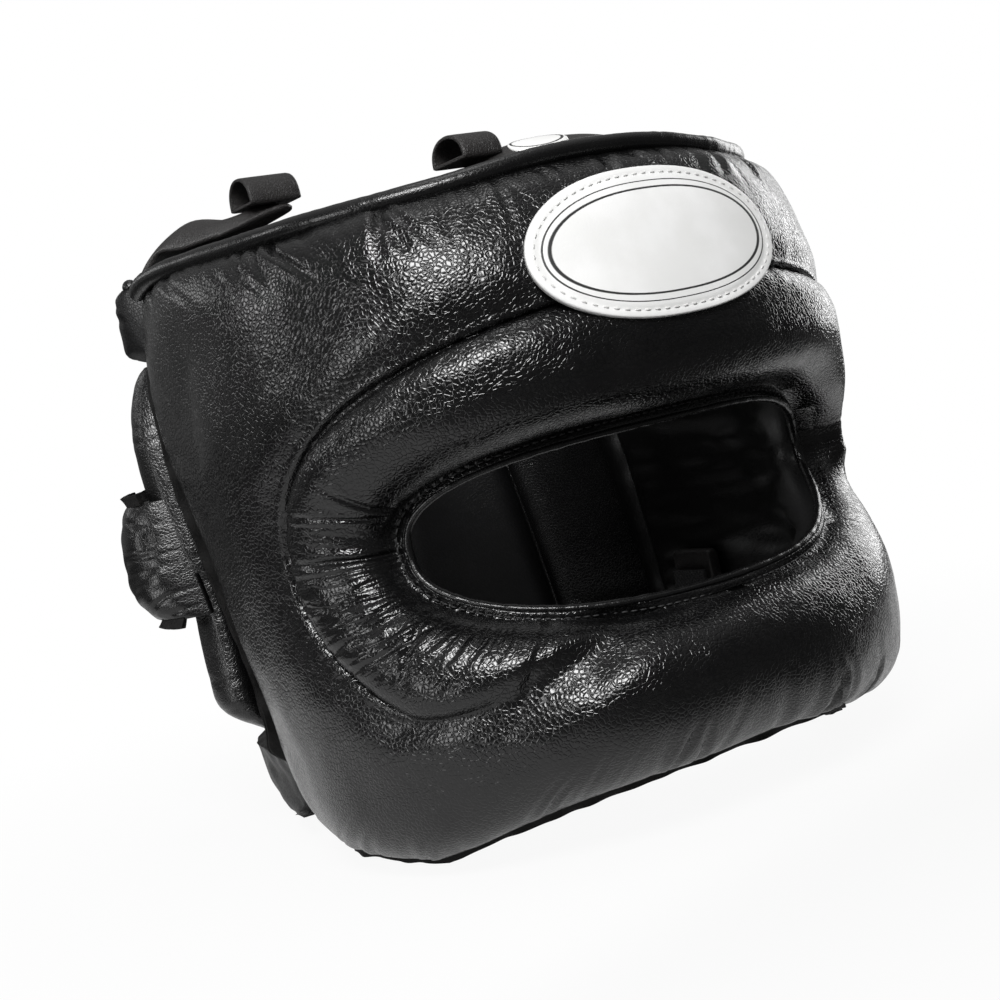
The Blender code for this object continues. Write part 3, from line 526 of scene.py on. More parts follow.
def eye_edge(theta):
    """Angle and height of the slot's edge: a rounded rectangle, rounder at its +X end and deeper below."""
    across, up = outline(theta, EYE_POWER - EYE_POWER_DROP * ramp(np.cos(theta), *ROUND_END))
    dip = EYE_DIP + (EYE_DIP_AT_ENDS - EYE_DIP) * np.abs(across) ** 1.5
    return EYE_HALF_ANGLE * across, EYE_LEVEL + np.where(up > 0.0, EYE_RISE, dip) * up


def front_edge(theta):
    """Angle and height of the front's outline: a squarer rectangle between the rim and the welt."""
    across, up = outline(theta, OUTLINE_POWER)
    angle = across * (SIDE_ANGLE + SIDE_LEAN * up)
    share = (up + 1.0) / 2.0
    bottom = welt_level(angle) + EDGE_DROP
    return angle, bottom + (rim_level(angle) - bottom) * share


def seam_angle(z):
    """Angle of the seam between the front and a rear half, at a height."""
    share = (z - WELT_DROP) / (REAR_RIM - WELT_DROP)
    return SIDE_ANGLE + SIDE_LEAN * np.clip(2.0 * share - 1.0, -1.0, 1.0)


def wing_front(z):
    """Angle of a rear half's front edge: a seam allowance behind the seam."""
    return seam_angle(z) + SEAM_ALLOWANCE / SEAM_HALF_WIDTH


def seam_rise(z):
    """How far the side seam stands out: little at the jaw and more towards the temple."""
    return SEAM_RISE * smooth_step((z - SEAM_RISE_FROM) / SEAM_RISE_OVER)


def side_taper(angle, z):
    """Thickness share that falls off in a long slope towards the side seam, below the temple."""
    distance = (seam_angle(z) - np.abs(angle)) * SEAM_HALF_WIDTH
    slope = np.sin(math.pi / 2.0 * np.clip(distance / SIDE_TAPER, 0.0, 1.0))
    low = smooth_step((SIDE_TAPER_TOP - z) / SIDE_TAPER_FADE)
    return 1.0 - low * (1.0 - slope)


def section_length(theta):
    """Width of the front padding from the eye slot to the outline."""
    eye_angle, eye_z = eye_edge(theta)
    edge_angle, edge_z = front_edge(theta)
    return np.hypot((edge_angle - eye_angle) * SEAM_HALF_WIDTH, edge_z - eye_z)


def front_position(theta, along):
    """Angle and height at a share of the straight way from the slot's edge to the outline."""
    eye_angle, eye_z = eye_edge(theta)
    edge_angle, edge_z = front_edge(theta)
    return eye_angle + (edge_angle - eye_angle) * along, eye_z + (edge_z - eye_z) * along


def ring_width(theta):
    """Distance of the groove from the slot: least at the slot's ends and most over and under its middle."""
    tall = np.abs(np.sin(theta)) ** RING_POWER
    return RING_WIDTH + RING_EXTRA * tall / (tall + RING_SPREAD * np.abs(np.cos(theta)) ** RING_POWER)


def run_out(theta):
    """0 round most of the ring and 1 under the middle of the slot, where the ring ends."""
    share = np.clip((-np.sin(theta) - RUNOUT_FROM) / (RUNOUT_TO - RUNOUT_FROM), 0.0, 1.0)
    return (1.0 + RUNOUT_EASE) * share**2 / (share + RUNOUT_EASE)


def front_heights(theta, along, groove=1.0):
    """Heights of the outer skin and of the lining.

    The skin rises from a flat lip at the slot and rolls down to the outline. A groove bounds the ring round
    the slot: a round shoulder on the ring's side, a crease, and a steep wall with a low lip on the other. It
    opens into a wide valley that runs out at the slot's edge under its middle.
    """
    length = section_length(theta)
    angle, z = front_position(theta, along)
    from_eye = along * length
    from_edge = (1.0 - along) * length
    below = ramp(-np.sin(theta), *UNDER_SLOT)
    puffy = ramp(-np.cos(theta), *PUFFY_END)
    tight = ramp(np.cos(theta - TIGHT_AT), *TIGHT_END)
    slack = ramp(np.cos(theta - SLACK_AT), *SLACK_END)
    eye_roll = EYE_ROLL + (EYE_ROLL_BELOW - EYE_ROLL) * below + EYE_ROLL_MORE * puffy
    eye_roll = eye_roll - EYE_ROLL_LESS * tight + EYE_ROLL_SLACK * slack
    crown = roll_off(np.maximum(from_eye - EYE_LIP, 0.0), eye_roll, ROLL_POWER - PUFFY_DROP * puffy)
    crown = crown * roll_off(from_edge, OUTLINE_ROLL)
    ahead = np.clip(np.cos(angle), 0.0, 1.0)
    bar = BAR_EXTRA * bell((z - BAR_LEVEL) / BAR_SPREAD) * ahead
    brow = BROW_EXTRA * bell((z - BROW_LEVEL) / BROW_SPREAD) * np.sqrt(ahead)
    crown = crown * side_taper(angle, z)
    beside = smooth_step((np.abs(angle) - seam_angle(z)) / SIDE_TUCK_ANGLE + 1.0)
    flare = np.maximum(rim_flare(angle, z) * along, seam_rise(z) * beside)
    edge = EYE_EDGE_OUT + flare
    ended = run_out(theta)
    away = from_eye - ring_width(theta) * (1.0 - RUNOUT_DRAW * ended)
    opened = smooth_step(ended / RUNOUT_OPEN)
    shoulder = 1.0 - roll_off(np.maximum(-away, 0.0), GROOVE_SHOULDER, 2.0)
    lip = GROOVE_LIP / GROOVE_DIP * bell((away - GROOVE_LIP_AT) / GROOVE_LIP_WIDTH)
    steep = 1.0 - GROOVE_SLOPE / GROOVE_DIP
    sharp = 1.0 - ramp(-np.sin(theta), *BLUNT_GROOVE)
    slope = bell(away / GROOVE_SLOPE_WIDTH)
    wall = slope + (steep * (bell(away / GROOVE_WALL) - slope) - lip) * sharp
    inside = shoulder + (bell(away / RUNOUT_INSIDE) - shoulder) * opened
    outside = wall + (bell(away / RUNOUT_OUTSIDE) - wall) * opened
    kept = 1.0 + RUNOUT_EXTRA * bell((ended - RUNOUT_DEEPEST) / RUNOUT_DEEP_OVER)
    kept = kept * (1.0 - ramp(ended, *RUNOUT_FADE))
    kept = kept * (1.0 - ramp(np.cos(theta), *PLAIN_END) * ramp(-np.sin(theta), *PLAIN_BELOW))
    kept = kept * (1.0 + GROOVE_ABOVE * ramp(np.sin(theta), *DEEP_ABOVE))
    dip = GROOVE_DIP * kept * np.where(away < 0.0, inside, outside)
    crease = GROOVE_CREASE * np.exp(-np.abs(away) / GROOVE_CREASE_WIDTH) * sharp * kept
    tuck = RIM_TUCK * bell(from_edge / RIM_TUCK_WIDTH) * ramp(np.sin(theta), *TUCKED_ABOVE)
    outer = edge + (PAD_OUT + bar + brow - edge) * crown - groove * (dip + crease) - tuck
    inward = roll_off(from_eye, LINING_ROLL) * roll_off(from_edge, LINING_ROLL)
    inner_edge = EYE_EDGE_IN + flare
    lining = inner_edge - (inner_edge + PAD_IN) * inward
    return outer, lining


def waves(points, length, seed, count=22):
    """Smooth irregular waves of about one length: plane waves of random heading and phase, added up."""
    random = np.random.default_rng(seed)
    headings = random.normal(size=(count, points.shape[-1]))
    headings /= np.linalg.norm(headings, axis=1)[:, None]
    sizes = 2.0 * math.pi / length * random.uniform(0.6, 1.5, count)
    phases = random.uniform(0.0, 2.0 * math.pi, count)
    total = np.zeros(points.shape[:-1])
    for heading, size, phase in zip(headings, sizes, phases):
        total += np.cos(points @ heading * size + phase)
    return total * math.sqrt(2.0 / count)


def uneven(points, seed, pairs):
    """Waves of several heights and lengths, added up, each with a seed of its own."""
    return sum(size * waves(points, length, seed + k) for k, (size, length) in enumerate(pairs))


def scattered(seed, start, end, pitch, lean, centre, reach, width, depth):
    """Random folds along a run: one a pitch, each with a lean, a centre, a reach, a width and a depth."""
    random = np.random.default_rng(seed)
    count = max(int((end - start) / pitch), 1)
    places = start + (np.arange(count) + random.uniform(0.1, 0.9, count)) * (end - start) / count
    leans = random.normal(0.0, lean, count)
    columns = [random.uniform(*limits, count) for limits in (centre, reach, width)]
    depths = depth[0] + (depth[1] - depth[0]) * random.uniform(0.0, 1.0, count) ** 2.2
    return np.stack([places, leans, *columns, depths], axis=1)


def folded(run, away, folds, period=0.0):
    """Height lost to folds: each is a narrow valley between raised shoulders, which leans and fades."""
    total = np.zeros(np.broadcast_shapes(run.shape, away.shape))
    for place, lean, centre, reach, width, depth in folds:
        offset = run - place - lean * (away - centre)
        if period:
            offset = (offset + period / 2.0) % period - period / 2.0
        across = offset / width
        valley = bell(across) - 0.45 * bell(across / 2.4)
        total -= depth * valley * bell((away - centre) / reach)
    return total


def skin_normals(points, ring=False):
    """Unit normals of a grid of points, from the cross product of its two directions."""
    if ring:
        along = np.roll(points, -1, axis=0) - np.roll(points, 1, axis=0)
    else:
        along = np.gradient(points, axis=0)
    normals = np.cross(along, np.gradient(points, axis=1))
    return normals / np.maximum(np.linalg.norm(normals, axis=-1, keepdims=True), 1e-12)


def outward(normals, points, core):
    """The same normals, turned away from a core point or points."""
    return normals * np.sign(((points - core) * normals).sum(axis=-1, keepdims=True))


def loop_quads(rows, columns, ring=False):
    """Quads between rows of loops. A loop's first half faces its second, so a strip closes an end."""
    index = np.arange(rows * columns).reshape(rows, columns)
    beside = np.roll(index, -1, axis=1)
    ahead = np.roll(index, -1, axis=0)
    quads = np.stack([index, beside, np.roll(ahead, -1, axis=1), ahead], axis=-1)
    if ring:
        return quads.reshape(-1, 4)
    one = np.arange(columns // 2 - 1)
    other = columns - 1 - one
    start = np.stack([index[0][k] for k in (one + 1, one, other, other - 1)], axis=-1)
    end = np.stack([index[-1][k] for k in (one, one + 1, other - 1, other)], axis=-1)
    return np.concatenate([quads[:-1].reshape(-1, 4), start, end])


def facing(outer, inner):
    """Loops that run out over one surface and back over the other."""
    return np.concatenate([outer, inner[:, ::-1]], axis=1)


def mesh_piece(name, points, quads, made_of, uv=None, marks=None, sharp=None):
    """A mesh object from points and quads, with its faces turned outwards by the sign of its volume.

    The volume is the sum over the faces of a corner's triple product with the two that follow it.
    """
    points = np.asarray(points, float).reshape(-1, 3)
    corner = points[quads]
    volume = np.einsum("ij,ij->", corner[:, 0], np.cross(corner[:, 1], corner[:, 2]))
    volume += np.einsum("ij,ij->", corner[:, 0], np.cross(corner[:, 2], corner[:, 3]))
    if volume < 0.0:
        quads = quads[:, ::-1]
    mesh = bpy.data.meshes.new(name)
    mesh.vertices.add(len(points))
    mesh.vertices.foreach_set("co", points.astype(np.float32).ravel())
    mesh.loops.add(quads.size)
    mesh.loops.foreach_set("vertex_index", quads.astype(np.int32).ravel())
    mesh.polygons.add(len(quads))
    mesh.polygons.foreach_set("loop_start", np.arange(0, quads.size, 4, dtype=np.int32))
    mesh.update(calc_edges=True)
    mesh.shade_smooth()
    if uv is not None:
        layer = mesh.uv_layers.new(name="surface")
        layer.data.foreach_set("uv", np.asarray(uv, np.float32).reshape(-1, 2)[quads].ravel())
    for key, values in (marks or {}).items():
        attribute = mesh.attributes.new(key, "FLOAT", "POINT")
        attribute.data.foreach_set("value", np.asarray(values, np.float32).ravel())
    if sharp is not None:
        mesh.set_sharp_from_angle(angle=math.radians(sharp))
    mesh.materials.append(made_of)
    obj = bpy.data.objects.new(name, mesh)
    bpy.context.scene.collection.objects.link(obj)
    return obj


def joined(parts):
    """Several sets of points and quads as one."""
    points, quads, count = [], [], 0
    for these, faces in parts:
        flat = np.asarray(these, float).reshape(-1, 3)
        points.append(flat)
        quads.append(faces + count)
        count += len(flat)
    return np.concatenate(points), np.concatenate(quads)


def weld(obj):
    """Merges the points of a pole into one."""
    shell = bmesh.new()
    shell.from_mesh(obj.data)
    bmesh.ops.remove_doubles(shell, verts=shell.verts, dist=2e-6)
    bmesh.ops.dissolve_degenerate(shell, edges=shell.edges, dist=1e-7)
    shell.to_mesh(obj.data)
    shell.free()
    return obj


def dress(obj, body, replaced=()):
    """Hangs a piece on its body, and hides the solids it stands for."""
    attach(obj, body)
    if replaced:
        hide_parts(*replaced)
    return obj


def mirrored(points, side):
    """Left-hand points (side -1) as they are, or carried over to the right."""
    return points * np.array([-side, 1.0, 1.0])


def path_frame(path, ring=False):
    """Unit tangents of a path."""
    if ring:
        tangent = np.roll(path, -1, axis=0) - np.roll(path, 1, axis=0)
    else:
        tangent = np.gradient(path, axis=0)
    return tangent / np.linalg.norm(tangent, axis=-1, keepdims=True)


def square_to(vectors, tangent):
    """Unit vectors with their part along the tangent taken off."""
    square = vectors - (vectors * tangent).sum(axis=-1, keepdims=True) * tangent
    return square / np.linalg.norm(square, axis=-1, keepdims=True)


def tube_loops(path, up, wide, tall, ring=False, sides=20, power=2.0):
    """A rounded profile carried along a path: half its width across, half its height along up."""
    tangent = path_frame(path, ring)
    up = square_to(np.broadcast_to(up, path.shape), tangent)
    beside = np.cross(tangent, up)
    turn = (np.arange(sides) + 0.5) / sides * 2.0 * math.pi
    across, high = outline(turn, power)
    wide = np.broadcast_to(wide, path.shape[:1])[:, None, None]
    tall = np.broadcast_to(tall, path.shape[:1])[:, None, None]
    return path[:, None] + beside[:, None] * across[:, None] * wide + up[:, None] * high[:, None] * tall


def round_ends(run, total, radius):
    """Width share of a rod with round ends."""
    near = np.minimum(run, total - run) / radius
    return np.sqrt(np.clip(1.0 - np.clip(1.0 - near, 0.0, 1.0) ** 2, 0.0016, 1.0))


def path_length(path, ring=False):
    """Length run along a path up to each of its points, and back to its start on a ring."""
    closed = np.concatenate([path, path[:1]]) if ring else path
    return np.concatenate([[0.0], np.cumsum(np.linalg.norm(np.diff(closed, axis=0), axis=1))])


def read_along(at, run, values):
    """Points or vectors of a path, read off at lengths along it."""
    return np.stack([np.interp(at, run, values[:, k]) for k in range(3)], axis=-1)


def stitches(path, up, pitch=STITCH_PITCH, length=STITCH_LENGTH, radius=STITCH_RADIUS):
    """Points and quads of a ring of stitches, one a pitch: short threads that thin out and dive at both ends.

    A thread's girth and its height over the path fall off with the fourth power of the way to its end.
    """
    closed = np.concatenate([path, path[:1]])
    run = path_length(path, True)
    count = max(int(round(run[-1] / pitch)), 2)
    at = (np.arange(count) + 0.5) * run[-1] / count
    place = read_along(at, run, closed)
    tangent = read_along(at + pitch / 4.0, run, closed) - read_along(at - pitch / 4.0, run, closed)
    tangent /= np.linalg.norm(tangent, axis=1)[:, None]
    lift = square_to(read_along(at, run, np.concatenate([up, up[:1]])), tangent)
    beside = np.cross(tangent, lift)
    share = np.linspace(-1.0, 1.0, STITCH_SIDES)[:, None]
    girth = radius * np.sqrt(1.0 - 0.92 * share**4)
    turn = (np.arange(STITCH_SIDES) + 0.5) / STITCH_SIDES * 2.0 * math.pi
    height = radius * (0.9 - 1.5 * share**4)
    thread = np.broadcast_to(share * length / 2.0, (STITCH_SIDES, STITCH_SIDES))
    template = np.stack([thread, girth * np.cos(turn), height + girth * np.sin(turn)], axis=-1).reshape(-1, 3)
    axes = np.stack([tangent, beside, lift], axis=1)
    points = place[:, None] + np.einsum("tk,nkx->ntx", template, axes)
    quads = loop_quads(STITCH_SIDES, STITCH_SIDES)
    quads = (quads[None] + (np.arange(count) * STITCH_SIDES**2)[:, None, None]).reshape(-1, 4)
    return points.reshape(-1, 3), quads


class Socket:
    """A node's output that takes part in arithmetic: each operator adds one Math node."""

    def __init__(self, paint, output):
        self.paint = paint
        self.output = output

    def __add__(self, other):
        return self.paint.math("ADD", self, other)

    def __radd__(self, other):
        return self.paint.math("ADD", other, self)

    def __sub__(self, other):
        return self.paint.math("SUBTRACT", self, other)

    def __rsub__(self, other):
        return self.paint.math("SUBTRACT", other, self)

    def __mul__(self, other):
        return self.paint.math("MULTIPLY", self, other)

    def __rmul__(self, other):
        return self.paint.math("MULTIPLY", other, self)

    def __truediv__(self, other):
        return self.paint.math("DIVIDE", self, other)

    def __pow__(self, other):
        return self.paint.math("POWER", self, other)


class Paint:
    """The nodes of one material, or of the world."""

    def __init__(self, name, store=bpy.data.materials, shader="Principled BSDF"):
        self.made = store.new(name)
        self.made.use_nodes = True
        self.tree = self.made.node_tree
        self.shader = self.tree.nodes[shader]

    def node(self, kind, settings=None, sockets=None, out=0):
        """Adds a node, with its settings first and then the values or links of its sockets."""
        added = self.tree.nodes.new(kind)
        for key, value in (settings or {}).items():
            setattr(added, key, value)
        for key, value in (sockets or {}).items():
            if isinstance(value, Socket):
                self.tree.links.new(value.output, added.inputs[key])
            else:
                added.inputs[key].default_value = value
        return Socket(self, added.outputs[out])

    def set(self, **sockets):
        """Values or links of the shader's own sockets, with underscores for the spaces of their names."""
        for key, value in sockets.items():
            socket = self.shader.inputs[key.replace("_", " ")]
            if isinstance(value, Socket):
                self.tree.links.new(value.output, socket)
            else:
                socket.default_value = value
        return self.made

    def place(self):
        """Object coordinates."""
        return self.node("ShaderNodeTexCoord", out="Object")

    def surface(self):
        """The piece's own UV map, in metres."""
        return self.node("ShaderNodeTexCoord", out="UV")

    def across_and_up(self):
        """The two coordinates of the UV map, each by itself."""
        split = self.node("ShaderNodeSeparateXYZ", None, {"Vector": self.surface()})
        return split, Socket(self, split.output.node.outputs["Y"])

    def math(self, operation, *values):
        """A Math node of that operation, with its values in order."""
        return self.node("ShaderNodeMath", {"operation": operation}, dict(enumerate(values)))

    def reach(self, operation, *vectors):
        """A Vector Math node that gives a number."""
        return self.node("ShaderNodeVectorMath", {"operation": operation}, dict(enumerate(vectors)), "Value")

    def scaled(self, where, x, y, z):
        """Coordinates stretched along each axis."""
        return self.node("ShaderNodeMapping", None, {"Vector": where, "Scale": (x, y, z)})

    def noise(self, where, scale, detail=2.0, roughness=0.5):
        """A noise of that scale, from 0 to 1."""
        sockets = {"Vector": where, "Scale": scale, "Detail": detail, "Roughness": roughness}
        return self.node("ShaderNodeTexNoise", None, sockets)

    def warped(self, where, scale, reach):
        """Coordinates pushed about by a noise of that scale, by up to half the reach."""
        sockets = {"Vector": where, "Scale": scale, "Detail": 2.0}
        push = self.node("ShaderNodeTexNoise", None, sockets, out="Color")
        sockets = {0: push, 1: (reach, reach, reach), 2: where}
        return self.node("ShaderNodeVectorMath", {"operation": "MULTIPLY_ADD"}, sockets)

    def cells(self, where, scale, feature="DISTANCE_TO_EDGE"):
        """A cell pattern of that scale: the distance that the feature names."""
        return self.node("ShaderNodeTexVoronoi", {"feature": feature}, {"Vector": where, "Scale": scale})

    def between(self, value, low, high, to_low=0.0, to_high=1.0):
        """A smooth step from one number at a low value to another at a high one."""
        settings = {"interpolation_type": "SMOOTHSTEP"}
        sockets = {"Value": value, "From Min": low, "From Max": high, "To Min": to_low, "To Max": to_high}
        return self.node("ShaderNodeMapRange", settings, sockets)

    def mix(self, factor, one, other):
        """A colour between two, by a factor."""
        return self.node("ShaderNodeMix", {"data_type": "RGBA"}, {0: factor, 6: one, 7: other}, out=2)

    def bump(self, height, distance):
        """A normal for heights from 0 to 1 over a distance in metres."""
        return self.node("ShaderNodeBump", None, {"Strength": 1.0, "Distance": distance, "Height": height})

    def seen(self, *kinds):
        """1 on rays of any of those kinds."""
        path = self.node("ShaderNodeLightPath").output.node
        return sum(Socket(self, path.outputs[kind]) for kind in kinds)

    def attribute(self, name):
        """A number stored at the piece's points."""
        return self.node("ShaderNodeAttribute", {"attribute_name": name}, out="Fac")


def leather(name, dark, pale, cell, depth, rough, drawn=False, shine=0.5):
    """Pebbled leather: warped round-topped cells with creases between them, and duller, greyer hollows. Its
    colour is painted darker down in the creases, a painted shade, and paler in random patches.
    """
    paint = Paint(name)
    place = paint.place()
    warped = paint.warped(place, 0.30 / cell, 1.2 * cell)
    edge = paint.cells(warped, 1.0 / cell)
    grain = paint.between(edge, 0.0, 0.17) * 0.6 + paint.between(edge, 0.0, 0.46) * 0.4
    hollow = paint.between(edge, 0.0, 0.12, 1.0, 0.0)
    patches = paint.noise(place, 22.0, 3.0)
    swell = paint.between(patches, 0.3, 0.7, 0.75, 1.20)
    relief = grain * swell
    if drawn:
        surface = paint.scaled(paint.warped(paint.surface(), 160.0, 0.0036), 1.0, 0.17, 1.0)
        coarse = paint.between(paint.cells(surface, 380.0), 0.0, 0.34)
        pulled = paint.attribute("drawn")
        relief = relief * (1.0 - pulled * 0.65) + coarse * pulled * 2.6
    # the tone follows random patches and the cells' heights, so the creases take the dark colour, a painted
    # shade
    tone = paint.between(paint.noise(place, 60.0, 4.0) * 0.6 + grain * 0.4, 0.25, 0.85)
    return paint.set(
        Base_Color=paint.mix(tone, dark, pale),
        Roughness=rough + hollow * 0.14 + (patches - 0.5) * 0.10,
        Specular_IOR_Level=shine,
        Normal=paint.bump(relief, depth),
    )


def raw_leather(name):
    """Cut edge of leather: fibres across a dull dark core."""
    paint = Paint(name)
    place = paint.place()
    fibres = paint.noise(paint.warped(place, 300.0, 0.004), 900.0, 4.0, 0.7)
    tone = paint.between(fibres, 0.35, 0.75)
    return paint.set(
        Base_Color=paint.mix(tone, (0.003, 0.003, 0.003, 1.0), (0.012, 0.0115, 0.011, 1.0)),
        Roughness=paint.between(fibres, 0.2, 0.8, 0.60, 0.80),
        Specular_IOR_Level=0.2,
        Normal=paint.bump(fibres, 0.0004),
    )


def thread(name, dark, pale):
    """Twisted thread: a fine noise for its fibres."""
    paint = Paint(name)
    lay = paint.noise(paint.place(), 2600.0, 2.0, 0.6)
    return paint.set(
        Base_Color=paint.mix(lay, dark, pale),
        Roughness=paint.between(lay, 0.2, 0.8, 0.5, 0.75),
        Normal=paint.bump(lay, 0.00012),
    )


def printed_patch(name, oval_width, oval_height, lines):
    """White coated patch with printed oval lines, each with its inset from the edge and its width."""
    paint = Paint(name)
    place = paint.place()
    across, up = paint.across_and_up()
    ink = 0.0
    for inset, width in lines:
        wide = oval_width - inset
        tall = oval_height - inset
        radius = ((across / wide) ** 2.0 + (up / tall) ** 2.0) ** 0.5
        off = paint.math("ABSOLUTE", (radius - 1.0) * tall)
        line = paint.between(off, width * 0.5, width * 1.1, 1.0, 0.0)
        ink = paint.math("MAXIMUM", line, ink)
    grain = paint.noise(place, 1500.0, 3.0)
    soil = paint.between(paint.noise(place, 70.0, 4.0), 0.35, 0.75)
    white = paint.mix(soil, (0.80, 0.80, 0.79, 1.0), (0.86, 0.86, 0.855, 1.0))
    return paint.set(
        Base_Color=paint.mix(ink, white, (0.02, 0.02, 0.02, 1.0)),
        Roughness=paint.between(grain, 0.3, 0.7, 0.36, 0.5),
        Normal=paint.bump(grain, 0.00005),
    )


def woven(name, dark, pale, pitch):
    """Webbing: warp and weft that pass over each other, as the product of a sine along and one across."""
    paint = Paint(name)
    along, across = paint.across_and_up()
    turns = 2.0 * math.pi / pitch
    weft = paint.math("SINE", along * turns)
    warp = paint.math("SINE", across * turns)
    over = weft * warp * 0.5 + 0.5
    fuzz = paint.noise(paint.place(), 2400.0, 3.0)
    return paint.set(
        Base_Color=paint.mix(over * 0.7 + fuzz * 0.3, dark, pale),
        Roughness=paint.between(fuzz, 0.2, 0.8, 0.6, 0.85),
        Normal=paint.bump(over + fuzz * 0.3, 0.0003),
    )


def pile(name, dark, pale):
    """Loop tape: a deep irregular nap."""
    paint = Paint(name)
    place = paint.place()
    loops = paint.cells(paint.warped(place, 700.0, 0.0012), 1300.0, "F1")
    return paint.set(
        Base_Color=paint.mix(paint.between(loops, 0.1, 0.7), pale, dark),
        Roughness=0.9,
        Sheen_Weight=0.3,
        Normal=paint.bump(1.0 - loops, 0.0006),
    )


def bright_steel(name):
    """Drawn steel wire with fine scratches."""
    paint = Paint(name)
    scratch = paint.noise(paint.scaled(paint.place(), 400.0, 60.0, 400.0), 6.0, 3.0)
    return paint.set(
        Base_Color=paint.mix(scratch, (0.50, 0.51, 0.52, 1.0), (0.64, 0.645, 0.65, 1.0)),
        Metallic=1.0,
        Roughness=paint.between(scratch, 0.2, 0.8, 0.2, 0.36),
        Normal=paint.bump(scratch, 0.00003),
    )


# Dark and pale ends of each leather's colour: the pale end shows in random patches and on the cells' tops,
# and the dark end in the creases is a painted shade
BLACK = (0.0022, 0.0022, 0.0024, 1.0)
WORN_AND_UNSHADED_BLACK = (0.0058, 0.0057, 0.0058, 1.0)
DULL_BLACK = (0.0025, 0.0025, 0.0027, 1.0)
WORN_AND_UNSHADED_DULL = (0.007, 0.007, 0.0075, 1.0)
HIDE_BLACK = (0.012, 0.011, 0.011, 1.0)
WORN_AND_UNSHADED_HIDE = (0.024, 0.022, 0.021, 1.0)
COVER = leather("cover_leather", BLACK, WORN_AND_UNSHADED_BLACK, 0.0015, 0.00010, 0.14, drawn=True)
EAR_LEATHER = leather("ear_leather", BLACK, WORN_AND_UNSHADED_BLACK, 0.0013, 0.00005, 0.25)
REAR_LEATHER = leather("rear_leather", DULL_BLACK, WORN_AND_UNSHADED_DULL, 0.0013, 0.00005, 0.38, shine=0.25)
TRIM = leather("trim_leather", BLACK, WORN_AND_UNSHADED_BLACK, 0.0012, 0.00003, 0.22)
LINING = leather("lining_leather", BLACK, WORN_AND_UNSHADED_BLACK, 0.0012, 0.00004, 0.36)
STRAP_LEATHER = leather("strap_leather", HIDE_BLACK, WORN_AND_UNSHADED_HIDE, 0.0009, 0.0001, 0.42)
RAW = raw_leather("raw_edge")
BLACK_THREAD = thread("black_thread", (0.006, 0.006, 0.006, 1.0), (0.030, 0.030, 0.031, 1.0))
WHITE_THREAD = thread("white_thread", (0.50, 0.50, 0.49, 1.0), (0.72, 0.72, 0.71, 1.0))
BADGE = printed_patch("badge", BADGE_HALF_WIDTH, BADGE_HALF_HEIGHT, BADGE_LINES)
LABEL = printed_patch("label", LABEL_HALF_WIDTH, LABEL_HALF_DEPTH, LABEL_LINES)
WEBBING = woven("webbing", (0.006, 0.006, 0.0065, 1.0), (0.024, 0.024, 0.025, 1.0), 0.0022)
LOOP_TAPE = pile("closure_tape", (0.004, 0.004, 0.004, 1.0), (0.022, 0.022, 0.022, 1.0))
WIRE = bright_steel("steel")


def front_rows(count):
    """Polar angles, from over the forehead: rows shared out by the lengths round the ring and the outline."""
    dense = np.linspace(0.0, 2.0 * math.pi, 4001) + math.pi / 2.0
    spent = 0.0
    for place, weight in ((RING_MIDDLE / section_length(dense), 0.6), (1.0, 0.4)):
        angle, z = front_position(dense, place)
        steps = np.hypot(np.diff(angle) * SEAM_HALF_WIDTH, np.diff(z))
        run = np.concatenate([[0.0], np.cumsum(steps)])
        spent = spent + weight * run / run[-1]
    return np.interp(np.linspace(0.0, 1.0, count, endpoint=False), spent, dense)[:, None]


def front_run(theta, place):
    """Length round the front from polar angle 0, at a share across the padding, and its full length."""
    dense = np.linspace(0.0, 2.0 * math.pi, 4001)
    angle, z = front_position(dense, place(dense))
    steps = np.hypot(np.diff(angle) * SEAM_HALF_WIDTH, np.diff(z))
    run = np.concatenate([[0.0], np.cumsum(steps)])
    return np.interp(theta % (2.0 * math.pi), dense, run), run[-1]


def ring_run(theta):
    """Length round the middle of the ring, and its full length."""
    return front_run(theta, lambda dense: RING_MIDDLE / section_length(dense))


def edge_run(theta):
    """Length round the outline, and its full length."""
    return front_run(theta, lambda dense: 1.0)


def drawn_mask(theta, from_eye):
    """Where the ring's leather is drawn in round the slot's ends: most from beside the end to below it."""
    ends = ramp(np.abs(np.cos(theta)), *DRAWN_END) * ramp(-np.sin(theta), *DRAWN_BELOW)
    ends = ends * np.where(np.cos(theta) < 0.0, 1.0, DRAWN_RIGHT)
    return ends * bell((from_eye - DRAWN_AT) / DRAWN_SPREAD)


def ring_folds():
    """Radial folds round the ends of the slot: dense and deep at the -X end, few and faint at the other."""
    total = ring_run(np.array(0.0))[1]
    start, end, over, under = (float(ring_run(np.radians(a))[0]) for a in (152.0, 240.0, 24.0, 306.0))
    deep = [
        (float(ring_run(np.radians(degrees))[0]), lean, centre, RING_FOLD_REACH, width, depth)
        for degrees, lean, centre, width, depth in RING_FOLDS
    ]
    fine = scattered(11, start, end, *RING_FINE)
    coarse = scattered(12, start, end, *RING_COARSE)
    faint = scattered(31, under - total, over, *RING_FAINT)
    return np.concatenate([np.array(deep), fine, coarse, faint])


def edge_place(degrees, upper):
    """Run along the outline at an angle round the head, on the rim or on the welt."""
    theta = np.linspace(math.radians(20.0), math.radians(160.0), 2000)
    theta = theta if upper else theta + math.pi
    angle = front_edge(theta)[0]
    order = np.argsort(angle)
    found = np.interp(math.radians(degrees), angle[order], theta[order])
    return float(edge_run(np.array(found))[0])


